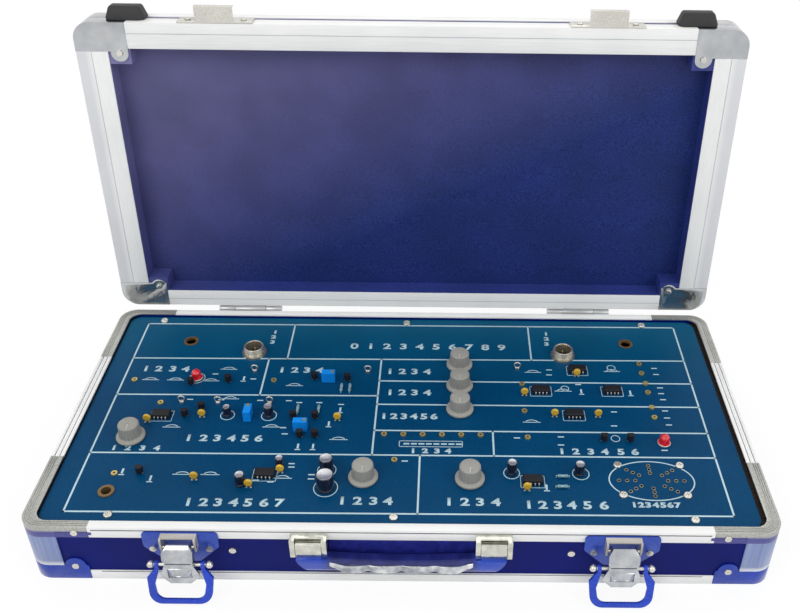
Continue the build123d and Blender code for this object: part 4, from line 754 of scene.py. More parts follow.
    @staticmethod
    def copies(piece: bpy.types.Object, shifts: list[Point]) -> list[bpy.types.Object]:
        """Copy a piece, each copy with its own mesh, and move the copies.

        Args:
            piece: The piece, which is moved to the first place.
            shifts: How far each one goes, in mm.

        Returns:
            All of them.
        """
        made = []
        for shift in shifts[1:]:
            twin = bpy.data.objects.new(piece.name, piece.data.copy())
            bpy.context.collection.objects.link(twin)
            twin.data.transform(Matrix.Translation(Vector(shift) * MM))
            made.append(twin)
        piece.data.transform(Matrix.Translation(Vector(shifts[0]) * MM))
        return [piece, *made]

    @staticmethod
    def cast(node: str, name: str) -> bpy.types.Object:
        """Take a welded copy of a solid to shape further.

        Args:
            node: The solid's node.
            name: Name of the piece.

        Returns:
            The copy.
        """
        Bench.clear()
        piece = bpy.data.objects.new(name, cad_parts[node].data.copy())
        bpy.context.collection.objects.link(piece)
        Bench.hold(piece)
        if piece.data.has_custom_normals:
            bpy.ops.mesh.customdata_custom_splitnormals_clear()
        bpy.ops.object.mode_set(mode="EDIT")
        bpy.ops.mesh.select_all(action="SELECT")
        bpy.ops.mesh.remove_doubles(threshold=1e-6)
        bpy.ops.mesh.dissolve_limited(angle_limit=math.radians(0.5))
        bpy.ops.object.mode_set(mode="OBJECT")
        return piece

    @staticmethod
    def round_edges(piece: bpy.types.Object, width: float, segments: int = 2, angle: float = 40) -> None:
        """Round the sharp edges of a piece, as real metal has them.

        Args:
            piece: The piece.
            width: Width of the rounding, in mm.
            segments: Steps of the rounding.
            angle: Least angle of an edge that is rounded, in degrees.
        """
        Bench.modify(
            piece, "BEVEL", width=width * MM, segments=segments, limit_method="ANGLE",
            angle_limit=math.radians(angle), use_clamp_overlap=True,
        )


@dataclass
class SubAssembly:
    """A part of the trainer whose pieces move with one body of the frame.

    Attributes:
        body: Body that the pieces ride on.
    """

    body: str = "case"

    def coat(self, node: str, finish: Finish) -> None:
        """Give a solid of the frame its finish.

        Args:
            node: The solid's node.
            finish: Its finish.
        """
        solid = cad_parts[node]
        solid.data.materials.clear()
        solid.data.materials.append(finish.material())
        LOG.info("%s is finished in %s", node, finish.name)

    def mount(
        self, piece: bpy.types.Object, finish: Finish, body: str = "", stands_for: str = "",
    ) -> bpy.types.Object:
        """Finish a piece and let it ride on its body.

        Args:
            piece: The piece.
            finish: Its finish.
            body: Body that it rides on, where it isn't the sub-assembly's own.
            stands_for: Node that it is shown in place of.

        Returns:
            The piece.
        """
        Bench.clear()
        piece.data.materials.clear()
        piece.data.materials.append(finish.material())
        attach(piece, body or self.body)
        if stands_for:
            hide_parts(stands_for)
        LOG.info("%s is made, with %d faces, in %s", piece.name, len(piece.data.polygons), finish.name)
        return piece

    def round_over(
        self, node: str, finish: Finish, width: float, body: str = "",
    ) -> bpy.types.Object:
        """Show a solid with its sharp edges rounded.

        Args:
            node: The solid's node.
            finish: Its finish.
            width: Width of the rounding, in mm.
            body: Body that it rides on, where it isn't the sub-assembly's own.

        Returns:
            The piece shown.
        """
        piece = Bench.cast(node, f"{node}_rounded")
        Bench.round_edges(piece, width)
        Bench.smooth(piece, 40)
        return self.mount(piece, finish, body, node)


@dataclass
class CaseBase(SubAssembly):
    """The lower half of the case: walls, rails, grooved caps, posts and ball corners."""

    half_width: float = 230
    half_depth: float = 112
    height: float = 46
    lip: float = 8.5
    side_rail: float = 9
    rail_edge: float = 0.35
    cap_edge: float = 0.15
    post_edge: float = 0.3
    ball_edge: float = 0.45
    strap_far: float = 44
    strap_near: float = 22
    strap_proud: float = 0.3
    strap_tall: float = 4.6
    strap_middle: float = 2.2
    strap_end_share: float = 0.45
    strap_end_line: float = 4.5
    strap_edge: float = 0.12
    corner_reach: float = 44
    cap_reach: float = 60
    ball_reach: float = 37
    seam_proud: float = 0.04
    seam_edge: float = 0.04
    seam_thickness: float = 0.12
    rim_seam_drop: float = 2.2
    rim_seam_tall: float = 0.7
    foot_seam_height: float = 6.9
    foot_seam_tall: float = 0.5
    groove_insets: tuple[float, float] = (2.4, 5.6)
    groove_width: float = 0.45
    groove_sunk: float = 0.02

    def build(self) -> None:
        """Dress the walls, rails and corners, and add the straps and seams."""
        self.coat("base_bottom", BOARD_BLACK)
        for node in ("base_front_wall", "base_back_wall", "base_side_walls"):
            self.coat(node, WALL_NAVY)
        self.coat("base_rivets", RIVET_BRIGHT)
        self.coat("panel_bearers", BEARER_DARK)
        side_starts = self.half_width - self.side_rail
        for node in ("base_rim_rails", "base_foot_rails"):
            rails = self.round_over(node, RAIL_ALONG, self.rail_edge)
            Bench.coat_where(rails, RAIL_INWARD, lambda place: abs(place.x) > side_starts)
        for node, finish, rounding in (
            ("base_rim_caps", CAP_METAL, self.cap_edge),
            ("base_corner_posts", POST_BLUE_REFLECTION, self.post_edge),
            ("base_corner_balls", BALL_BLUE, self.ball_edge),
        ):
            self.round_over(node, finish, rounding)
        self.add_straps()
        self.add_seams()

    def add_straps(self) -> None:
        """Add the straps under the rim caps, with slanted ends."""
        straps = []
        low = self.height - self.lip
        size = (self.strap_far - self.strap_near, self.strap_proud, self.strap_tall)
        for side in (-1, 1):
            for depth in (-1, 1):
                middle = side * (self.half_width - (self.strap_far + self.strap_near) / 2)
                line = depth * (self.half_depth + self.strap_proud / 2)
                strap = Bench.block("strap", (middle, line, low + self.strap_middle), size)
                Bench.choose(strap, lambda place, normal, s=side: normal.x * s < -FACING)
                pivot = (middle * MM, 0, (low + self.strap_end_line) * MM)
                bpy.ops.transform.resize(value=(1, 1, self.strap_end_share), center_override=pivot)
                bpy.ops.mesh.select_all(action="SELECT")
                bpy.ops.mesh.bevel(offset=self.strap_edge * MM, segments=2, affect="EDGES")
                bpy.ops.object.mode_set(mode="OBJECT")
                straps.append(strap)
        self.mount(Bench.join("rim_straps", straps), STRAP_INDIGO)

    def seam(self, centre: Point, size: Point) -> bpy.types.Object:
        """Lay one fine dark strip, a seam line with painted shade.

        Args:
            centre: Its middle, in mm.
            size: Its size along X, Y and Z, in mm.

        Returns:
            The seam.
        """
        return Bench.block("seam", centre, size, self.seam_edge, 1)

    def add_seams(self) -> None:
        """Add dark strips along the rails and across the top of the side rails, where seams and grooves
        are: painted shade.
        """
        seams = []
        thick = self.seam_thickness
        rim_line = self.height - self.rim_seam_drop
        along = 2 * (self.half_width - self.corner_reach)
        inward = 2 * (self.half_depth - self.cap_reach)
        foot_inward = 2 * (self.half_depth - self.ball_reach)
        for side in (-1, 1):
            line = side * (self.half_depth + self.seam_proud)
            seams.append(self.seam((0, line, rim_line), (along, thick, self.rim_seam_tall)))
            seams.append(self.seam((0, line, self.foot_seam_height), (along, thick, self.foot_seam_tall)))
        for side in (-1, 1):
            for inset in self.groove_insets:
                centre = (side * (self.half_width - inset), 0, self.height - self.groove_sunk)
                seams.append(self.seam(centre, (self.groove_width, inward, thick)))
            across = side * (self.half_width + self.seam_proud)
            seams.append(self.seam((across, 0, rim_line), (thick, inward, self.rim_seam_tall)))
            foot_size = (thick, foot_inward, self.foot_seam_tall)
            seams.append(self.seam((across, 0, self.foot_seam_height), foot_size))
        self.mount(Bench.join("rail_seam_shades", seams), SEAM_DARK)


@dataclass(frozen=True)
class Legend:
    """A row of plain digits on the panel.

    Attributes:
        digits: The digits.
        places: Place of each along X, in mm.
        line: Place of the row along Y, in mm.
        tall: Height of the digits, in mm.
    """

    digits: str
    places: tuple[float, ...]
    line: float
    tall: float = 6.0


# Places of the print on the board, in mm from the case's middle
FRAME_LINES = (
    ((-206.5, 96.6), (203.3, 98.1)), ((-207.2, -96.9), (203.3, -96.0)),
    ((-206.5, 96.6), (-207.2, -96.9)), ((203.3, 98.1), (203.3, -96.0)),
    ((-206.6, 53.6), (203.3, 56.4)), ((-206.8, 12.4), (-22.5, 13.4)), ((-207, -45.9), (203.3, -45.6)),
    ((-92.5, 96.9), (-92.5, 54.4)), ((89.2, 97.6), (89.2, 55.6)), ((-106, 54.2), (-106, 13)),
    ((-22.5, 54.8), (-22.5, -45.6)), ((57.7, -22.2), (57.7, -45.6)), ((9, -45.6), (9, -96.3)),
    ((-22.5, 29.9), (203.3, 29.9)), ((-22.5, 4.4), (203.3, 4.4)), ((-22.5, -22.2), (203.3, -22.2)),
)
RINGS = (
    ((-124.5, -8.5), 5), ((-96, -8.5), 5.4), ((-49.5, -75.5), 7.8), ((113, -61), 5.6),
    ((-154.5, 31), 6), ((147.6, 47.4), 3.2), ((111.1, 23.5), 3), ((140.1, -28), 3.2),
    ((-50.5, -60), 6.2), ((68.5, -61), 5.4),
)
DASHES = (
    (-0.7, -51.1), (179.4, 47.4), (179.6, 40.4), (121.1, 28), (179.8, 25.2), (179.4, 18.9),
    (179.6, 12.3), (142.9, -1.2), (140.9, -15.5), (178.8, 0.4), (178.8, -6.9), (178.8, -14.0),
    (73.8, -28.3), (103.5, -26.9), (102.8, -34.7), (171.2, -38.8), (-73.9, -54.5), (-73.6, -57.6),
    (-59.6, -67.9), (-59.8, -64.2), (-142.1, 35.8), (101.5, 44.4), (101.0, 38.6), (-77.0, 5.3),
    (-63.0, 5.5), (-47.6, 3.8), (-113.6, 30.6), (-132, 7.5), (-154, 7.6), (-104.6, 7.2),
    (-84.5, 7.2), (-84.5, -20.5), (-82.5, -26.6), (-94.5, -69.5), (-85, -70.8),
)
ARCHES = (
    (-187.3, 28.6), (-169.4, 28.6), (-143.8, 28), (-133.4, 41.4), (-83.0, 23.6), (-45.8, -31.6),
    (-142.4, -65), (-124.5, -65), (-160, -21), (-92.5, -20), (-78, -67.5), (89.4, 41.4),
    (147.6, 43.2), (109.5, 20.5), (84.8, -12.6), (-126, 8.6),
)
UPRIGHTS = (
    (-72, -38.2), (-62, -38.2), (-47.6, -1.6), (-120.5, 31.2), (-54, -16), (-161.5, -68.5),
    (-181, -62.5), (90, -73), (122.5, 20.5), (157.5, 19.5),
)
LEGENDS = (
    Legend("1234", (-193.9, -184.5, -174.3, -164.8), 41.0),
    Legend("1234", (-94.5, -85.0, -76.2, -66.7), 41.1),
    Legend("1234", (-192.7, -183.5, -174.0, -164.5), -41.5, 4.4),
    Legend("123456", (-145.9, -135.9, -126.9, -117.3, -108.3, -99.2), -31.5),
    Legend("1234", (-15.4, -6.3, 2.6, 11.9), 40.7),
    Legend("1234", (-14.1, -5.3, 3.4, 12.5), 17.2),
    Legend("123456", (-16.9, -10.0, -3.1, 3.8, 10.7, 17.6), -8.0, 5.6),
    Legend("1234", (4.4, 12.3, 20.2, 27.5), -41.6, 4.4),
    Legend("123456", (102.8, 112.1, 122.0, 131.3, 141.9, 151.2), -40.9, 5.4),
    Legend("1234567", (-132.9, -123.4, -114.5, -104.9, -96.0, -86.1, -76.9), -88.7, 6.4),
    Legend("1234", (-38.1, -28.5, -18.6, -9.6), -86.4, 6.4),
    Legend("1234", (28.3, 38.2, 47.6, 57.5), -86.4, 6.4),
    Legend("123456", (77.8, 86.5, 95.8, 104.5, 114.2, 124.4), -88.3, 6.4),
    Legend("1234567", (143.3, 147.6, 152.0, 156.7, 161.3, 165.7, 170.1), -87.4, 4.2),
    Legend("0123456789", tuple(-44 + 12.4 * step for step in range(10)), 70.5, 6.6),
    Legend("1", (-106.5,), 87.4, 4.0),
    Legend("2", (-106.9,), 81.0, 4.0),
    Legend("3", (-106.8,), 74.6, 4.0),
    Legend("1", (102.8,), 88.5, 4.0),
    Legend("2", (102.6,), 82.1, 4.0),
    Legend("3", (102.2,), 75.6, 4.0),
)


@dataclass
class PanelPrint(SubAssembly):
    """The pale print on the training panel: frame lines, rings, marks and plain digits."""

    level: float = BOARD_FACE + 0.01
    thickness: float = 0.06
    line_width: float = 1.2
    outline_width: float = 0.4
    ring_width: float = 0.55
    ring_steps: int = 56
    oval_half: Spot = (27.6, 17.4)
    oval_width: float = 0.8
    chip_half: Spot = (7.6, 5.2)
    arch_half: float = 4.4
    arch_rise: float = 2.6
    arch_width: float = 0.6
    arch_foot: float = 1.4
    box_sides: Spot = (-5, 37)
    box_ends: Spot = (-37.6, -32.2)
    box_width: float = 0.5
    box_line: float = -34.9
    box_dashes: tuple[float, ...] = tuple(-1.6 + 5 * step for step in range(8))
    box_dash: float = 2.6
    dash_half: float = 1.6
    dash_width: float = 1.0
    upright_width: float = 1.3
    upright_foot: float = 3.2
    foot_half: float = 1.5
    foot_width: float = 0.8
    digit_size: float = 1.38
    digit_weight: float = 0.3
    digit_stretch: float = 1.35
    flat: list[bpy.types.Object] = field(default_factory=list)

    def build(self) -> None:
        """Lay out the print and give it the thickness of ink."""
        for start, end in FRAME_LINES:
            self.strip(start, end)
        self.loop(SPEAKER_CENTRE, *self.oval_half, self.oval_width)
        for place, radius in RINGS:
            self.loop(place, radius, radius, self.ring_width)
        self.rule_chips()
        self.rule_box()
        self.rule_marks()
        for legend in LEGENDS:
            for digit, across in zip(legend.digits, legend.places):
                self.set_digit(digit, across, legend.line, legend.tall)
        sheet = Bench.join("panel_print", self.flat)
        Bench.modify(sheet, "SOLIDIFY", thickness=self.thickness * MM, offset=1)
        Bench.face_out(sheet)
        self.mount(sheet, PRINT_WHITE)

    def strip(self, start: Spot, end: Spot, width: float = 0) -> None:
        """Draw a straight strip of print.

        Args:
            start: Where it starts, in mm.
            end: Where it ends, in mm.
            width: Its width, in mm, where it isn't the frame line's.
        """
        Bench.clear()
        run = Vector((end[0] - start[0], end[1] - start[1]))
        broad = width or self.line_width
        middle = ((start[0] + end[0]) / 2 * MM, (start[1] + end[1]) / 2 * MM, self.level * MM)
        heading = (0, 0, math.atan2(run.y, run.x))
        bpy.ops.mesh.primitive_plane_add(size=1, location=middle, rotation=heading)
        piece = bpy.context.object
        piece.scale = ((run.length + broad) * MM, broad * MM, 1)
        Bench.settle(piece)
        self.flat.append(piece)

    def loop(self, middle: Spot, across: float, along: float, width: float) -> None:
        """Draw a round or oval line of print.

        Args:
            middle: Its middle, in mm.
            across: Half its size along X, in mm.
            along: Half its size along Y, in mm.
            width: Width of the line, in mm.
        """
        Bench.clear()
        centre = (middle[0] * MM, middle[1] * MM, self.level * MM)
        bpy.ops.mesh.primitive_circle_add(
            vertices=self.ring_steps, radius=1, fill_type="NGON", location=centre,
        )
        piece = bpy.context.object
        piece.scale = (across * MM, along * MM, 1)
        Bench.settle(piece)
        bpy.ops.object.mode_set(mode="EDIT")
        bpy.ops.mesh.select_mode(type="FACE")
        bpy.ops.mesh.select_all(action="SELECT")
        bpy.ops.mesh.inset(thickness=width * MM)
        bpy.ops.mesh.delete(type="FACE")
        bpy.ops.object.mode_set(mode="OBJECT")
        self.flat.append(piece)

    def arch(self, middle: Spot) -> None:
        """Draw a low arch on its foot line, as circuit symbols have them.

        Args:
            middle: Middle of its foot, in mm.
        """
        self.loop(middle, self.arch_half, self.arch_rise, self.arch_width)
        Bench.choose(self.flat[-1], lambda place, normal: place.y < middle[1] * MM)
        bpy.ops.mesh.delete(type="FACE")
        bpy.ops.object.mode_set(mode="OBJECT")
        reach = self.arch_half + self.arch_foot
        self.strip((middle[0] - reach, middle[1]), (middle[0] + reach, middle[1]), self.arch_width)

    def set_digit(self, digit: str, across: float, line: float, tall: float) -> None:
        """Set one plain digit.

        Args:
            digit: The digit.
            across: Its middle along X, in mm.
            line: Its middle along Y, in mm.
            tall: Its height, in mm.
        """
        Bench.clear()
        bpy.ops.object.text_add(location=(0, 0, 0))
        piece = bpy.context.object
        piece.data.body = digit
        piece.data.size = tall * self.digit_size * MM
        piece.data.offset = self.digit_weight * MM
        piece.data.align_x = "CENTER"
        piece.data.align_y = "CENTER"
        piece.data.resolution_u = 3
        bpy.ops.object.convert(target="MESH")
        piece = bpy.context.object
        piece.location = (across * MM, line * MM, self.level * MM)
        piece.scale = (self.digit_stretch, 1, 1)
        Bench.settle(piece)
        self.flat.append(piece)

    def rule_chips(self) -> None:
        """Draw the outline round each chip."""
        wide, deep = self.chip_half
        for across, line in CHIP_PLACES:
            for edge in (-1, 1):
                row = line + edge * deep
                self.strip((across - wide, row), (across + wide, row), self.outline_width)
                post = across + edge * wide
                self.strip((post, line - deep), (post, line + deep), self.outline_width)

    def rule_box(self) -> None:
        """Draw the long box with its row of dashes."""
        left, right = self.box_sides
        low, high = self.box_ends
        for edge in (low, high):
            self.strip((left, edge), (right, edge), self.box_width)
        for side in (left, right):
            self.strip((side, low), (side, high), self.box_width)
        for start in self.box_dashes:
            self.strip((start, self.box_line), (start + self.box_dash, self.box_line), self.upright_width)

    def rule_marks(self) -> None:
        """Draw the dashes, the low arches and the upright marks."""
        for across, line in DASHES:
            self.strip((across - self.dash_half, line), (across + self.dash_half, line), self.dash_width)
        for middle in ARCHES:
            self.arch(middle)
        for across, line in UPRIGHTS:
            self.strip((across, line - self.dash_half), (across, line + self.dash_half), self.upright_width)
            foot = line - self.upright_foot
            self.strip((across - self.foot_half, foot), (across + self.foot_half, foot), self.foot_width)


@dataclass
class TrainingPanel(SubAssembly):
    """The circuit board and the parts that stand on it.

    Attributes:
        cans: Middle along X and Y, radius and height of each round can, in mm.
        resistors: Middle along X and Y of each resistor, in mm, and its turn, in degrees.
        pads: Middle of each pair of solder pads, in mm.
    """

    cans: tuple[tuple[float, float, float, float], ...] = (
        (-124.5, -8.5, 2.7, 8), (-96, -8.5, 3.2, 9), (-103.5, -73, 3.2, 9), (-81, -57, 2.7, 8),
        (-50.5, -60, 4.4, 11), (-49.5, -75.5, 5.5, 12), (68.5, -61, 3.2, 10), (112, -61, 3.2, 9),
    )
    resistors: tuple[Point, ...] = (
        (100, -73.5, 0), (101, -64.5, 0), (-49, 20.5, 90), (-43, 20.5, 90), (-77, -3, 90), (-62.5, -3, 90),
    )
    sockets: tuple[Spot, ...] = ((-118, 61), (113, 61))
    lamps: tuple[Spot, ...] = ((-154.5, 31), (172, -32))
    pads: tuple[Spot, ...] = (
        (-157, 24), (-131, 27.5), (-69.5, 31.5), (-45.5, 30), (-143.5, -2.5), (-79, -10.5),
        (-64, -10.5), (-72, -29), (-62, -29), (132, -30), (149.5, -30), (-153.5, -9.5), (-169.5, -64),
        (-177.5, -16), (-141.5, -10.5), (-80, -62.5), (121, 37.5), (81.5, 15.5), (101, -6.5),
        (77.5, -76), (-98, -75.5), (-48.5, -12.5), (131, -6.5), (-133.5, -69.5),
    )
    leg_steps: tuple[float, ...] = (-3.81, -1.27, 1.27, 3.81)
    leg_reach: float = 3.35
    leg_rise: float = 0.35
    leg_root: Point = (0, 0.15, 1.9)
    leg_size: Point = (1.0, 0.9, 0.35)
    leg_edge: float = 0.08
    leg_bend: float = 0.25
    leg_splay: float = 0.05
    leg_fall: float = 0.9
    leg_taper: float = 0.6
    can_edge: float = 0.55
    top_sunk: float = 0.02
    top_thickness: float = 0.14
    top_round: float = 0.12
    top_rim: float = 0.3
    top_dip: float = 0.1
    score_inset: float = 1.3
    score_width: float = 0.16
    score_tall: float = 0.1
    score_rise: float = 0.16
    score_edge: float = 0.03
    band_shifts: tuple[float, ...] = (-2.2, -1.4, 1.4, 2.2)
    band_radius: float = 1.04
    band_wire: float = 0.16
    resistor_rise: float = 1.4
    thread_turns: int = 5
    thread_start: float = 2.3
    thread_pitch: float = 0.85
    thread_radius: float = 7.15
    thread_wire: float = 0.28
    mouth_rise: float = 6.45
    mouth_radius: float = 6.55
    mouth_wire: float = 0.55
    insert_foot: float = 42
    insert_radius: float = 5.8
    insert_height: float = 1.2
    insert_round: float = 0.5
    pin_turns: tuple[float, ...] = (90, 210, 330)
    pin_circle: float = 2.6
    pin_foot: float = 43
    pin_radius: float = 0.55
    pin_height: float = 3.4
    pin_round: float = 0.25
    collar_rise: float = 0.6
    collar_radius: float = 4.0
    collar_wire: float = 0.55
    pad_steps: Spot = (-1.27, 1.27)
    pad_radius: float = 0.75
    pad_height: float = 0.12
    pad_round: float = 0.3

    def build(self) -> None:
        """Dress the board and its parts, and add what the solids leave out."""
        self.coat("circuit_panel", BOARD_MASK)
        for node, finish in {
            "panel_screws": RIVET_BRIGHT, "panel_sockets": SOCKET_NICKEL, "socket_nuts": SOCKET_NICKEL,
            "panel_eyelets": EYELET_BROWN, "potentiometer_bodies": SOCKET_NICKEL,
            "speaker_frame": FRAME_STEEL, "speaker_cone": CONE_PAPER, "signal_lamps": LAMP_RED,
            "chips": CHIP_BLACK, "electrolytic_capacitors": CAN_SLEEVE, "trimmer_bodies": TRIMMER_BLUE,
            "test_terminals": RIVET_BRIGHT, "disc_capacitors": DISC_YELLOW, "transistors": CHIP_BLACK,
            "resistors": RESISTOR_LACQUER, "contact_rings": GOLD_PLATE,
        }.items():
            self.coat(node, finish)
        self.add_chip_legs()
        self.add_can_tops()
        self.add_bands()
        self.add_socket_threads()
        self.add_socket_inserts()
        self.add_lamp_rings()
        self.add_leads()

    def add_chip_legs(self) -> None:
        """Add the bright bent legs of the chips."""
        leg = Bench.block("leg", self.leg_root, self.leg_size, self.leg_edge, 1)
        Bench.choose(leg, lambda place, normal: normal.y > FACING)
        fall = -self.leg_fall * MM
        bpy.ops.mesh.extrude_region_move(TRANSFORM_OT_translate={"value": (0, self.leg_bend * MM, fall)})
        bpy.ops.transform.resize(value=(self.leg_taper, 1, 1))
        bpy.ops.mesh.extrude_region_move(TRANSFORM_OT_translate={"value": (0, self.leg_splay * MM, fall)})
        bpy.ops.object.mode_set(mode="OBJECT")
        other = bpy.data.objects.new("leg", leg.data.copy())
        bpy.context.collection.objects.link(other)
        other.data.transform(Matrix.Rotation(math.pi, 4, "Z"))
        rise = BOARD_FACE + self.leg_rise
        near = [(x + s, y - self.leg_reach, rise) for x, y in CHIP_PLACES for s in self.leg_steps]
        far = [(x + s, y + self.leg_reach, rise) for x, y in CHIP_PLACES for s in self.leg_steps]
        legs = Bench.join("chip_legs", Bench.copies(leg, far) + Bench.copies(other, near))
        Bench.smooth(legs)
        self.mount(legs, CAN_TOP)

    def add_can_tops(self) -> None:
        """Add the bare metal tops of the round cans, scored across."""
        tops = []
        for x, y, radius, height in self.cans:
            foot = (x, y, BOARD_FACE + height - self.top_sunk)
            top = Bench.disc("top", foot, radius - self.can_edge, self.top_thickness, 32, self.top_round)
            Bench.choose(top, lambda place, normal: normal.z > FACING)
            bpy.ops.mesh.inset(thickness=self.top_rim * MM)
            bpy.ops.transform.translate(value=(0, 0, -self.top_dip * MM))
            bpy.ops.object.mode_set(mode="OBJECT")
            tops.append(top)
            middle = (x, y, BOARD_FACE + height + self.score_rise)
            length = 2 * (radius - self.score_inset)
            for across, along in ((self.score_width, length), (length, self.score_width)):
                size = (across, along, self.score_tall)
                tops.append(Bench.block("score", middle, size, self.score_edge, 1))
        piece = Bench.join("can_tops", tops)
        Bench.smooth(piece)
        self.mount(piece, CAN_TOP)

    def add_bands(self) -> None:
        """Add the colour bands round the resistors."""
        bands = []
        for x, y, turn in self.resistors:
            heading = math.radians(turn)
            for shift in self.band_shifts:
                Bench.clear()
                across = (x + shift * math.cos(heading)) * MM
                along = (y + shift * math.sin(heading)) * MM
                bpy.ops.mesh.primitive_torus_add(
                    major_segments=20, minor_segments=6,
                    major_radius=self.band_radius * MM, minor_radius=self.band_wire * MM,
                    location=(across, along, (BOARD_FACE + self.resistor_rise) * MM),
                    rotation=(0, math.pi / 2, heading),
                )
                band = bpy.context.object
                Bench.settle(band)
                bands.append(band)
        piece = Bench.join("resistor_bands", bands)
        Bench.smooth(piece)
        self.mount(piece, BAND_BROWN)

    def add_socket_threads(self) -> None:
        """Add the thread round each socket's barrel and the rolled rim of its mouth."""
        rings = []
        for x, y in self.sockets:
            for step in range(self.thread_turns):
                level = BOARD_FACE + self.thread_start + self.thread_pitch * step
                rings.append(Bench.ring("thread", (x, y, level), self.thread_radius, self.thread_wire))
            mouth = (x, y, BOARD_FACE + self.mouth_rise)
            rings.append(Bench.ring("rim", mouth, self.mouth_radius, self.mouth_wire))
        piece = Bench.join("socket_threads", rings)
        Bench.smooth(piece, 60)
        self.mount(piece, SOCKET_NICKEL)

    def add_socket_inserts(self) -> None:
        """Add the dark insert in each socket and its contact pins."""
        inserts, pins = [], []
        for x, y in self.sockets:
            foot = (x, y, self.insert_foot)
            inserts.append(
                Bench.disc("insert", foot, self.insert_radius, self.insert_height, 40, self.insert_round)
            )
            for turn in self.pin_turns:
                across = x + self.pin_circle * math.cos(math.radians(turn))
                along = y + self.pin_circle * math.sin(math.radians(turn))
                foot = (across, along, self.pin_foot)
                pins.append(Bench.disc("pin", foot, self.pin_radius, self.pin_height, 16, self.pin_round))
        for name, pieces, finish in (
            ("socket_inserts", inserts, INSERT_DARK), ("socket_pins", pins, GOLD_PLATE),
        ):
            piece = Bench.join(name, pieces)
            Bench.smooth(piece)
            self.mount(piece, finish)

    def add_lamp_rings(self) -> None:
        """Add the pale ring at the foot of each lamp."""
        level = BOARD_FACE + self.collar_rise
        rings = [
            Bench.ring("collar", (x, y, level), self.collar_radius, self.collar_wire) for x, y in self.lamps
        ]
        piece = Bench.join("lamp_rings", rings)
        Bench.smooth(piece, 60)
        self.mount(piece, LAMP_RING)

    def add_leads(self) -> None:
        """Add the bright solder pads under the small parts that stand on leads."""
        pads = []
        for x, y in self.pads:
            for step in self.pad_steps:
                foot = (x + step, y, BOARD_FACE)
                pads.append(Bench.disc("pad", foot, self.pad_radius, self.pad_height, 12, self.pad_round))
        piece = Bench.join("solder_pads", pads)
        Bench.smooth(piece)
        self.mount(piece, CAN_TOP)


@dataclass
class Controls(SubAssembly):
    """The six knobs and the three trimmer screws, each on its own body."""

    knob_height: float = 12.4
    knobs: dict[str, Spot] = field(
        default_factory=lambda: {
            "knob_1": (-184.5, -31), "knob_2": (-26.5, -66.5), "knob_3": (35.5, 48.5),
            "knob_4": (35.5, 24.5), "knob_5": (35.5, -0.5), "knob_6": (41.5, -67),
        }
    )
    knob_edge: float = 0.18
    pointer_forward: float = 3.2
    pointer_sunk: float = 0.3
    pointer_size: Point = (0.85, 5.6, 0.36)
    pointer_edge: float = 0.08

    def build(self) -> None:
        """Dress the knobs, lay a pale line into each pointer groove, and dress the screws."""
        level = BOARD_FACE + self.knob_height - self.pointer_sunk
        for name, (x, y) in self.knobs.items():
            self.round_over(name, KNOB_GREY, self.knob_edge, name)
            middle = (x, y - self.pointer_forward, level)
            line = Bench.block(f"{name}_pointer", middle, self.pointer_size, self.pointer_edge, 1)
            self.mount(line, POINTER_PALE, name)
        for number in (1, 2, 3):
            self.coat(f"trimmer_screw_{number}", GOLD_PLATE)


@dataclass
class SpeakerGrille(SubAssembly):
    """The rims of the sound holes over the speaker."""

    half: Spot = (26.2, 16.6)
    arms: int = 8
    shares: tuple[float, ...] = (0.4, 0.6, 0.8)
    rim_rise: float = 0.03
    rim_radius: float = 1.15
    rim_wire: float = 0.13

    def build(self) -> None:
        """Press a thin bright rim round each sound hole."""
        rims = []
        level = BOARD_FACE + self.rim_rise
        for arm in range(self.arms):
            turn = 2 * math.pi * arm / self.arms
            for share in self.shares:
                x = SPEAKER_CENTRE[0] + self.half[0] * share * math.cos(turn)
                y = SPEAKER_CENTRE[1] + self.half[1] * share * math.sin(turn)
                rims.append(Bench.ring("rim", (x, y, level), self.rim_radius, self.rim_wire, 16))
        piece = Bench.join("sound_hole_rims", rims)
        Bench.smooth(piece, 60)
        self.mount(piece, GOLD_PLATE)


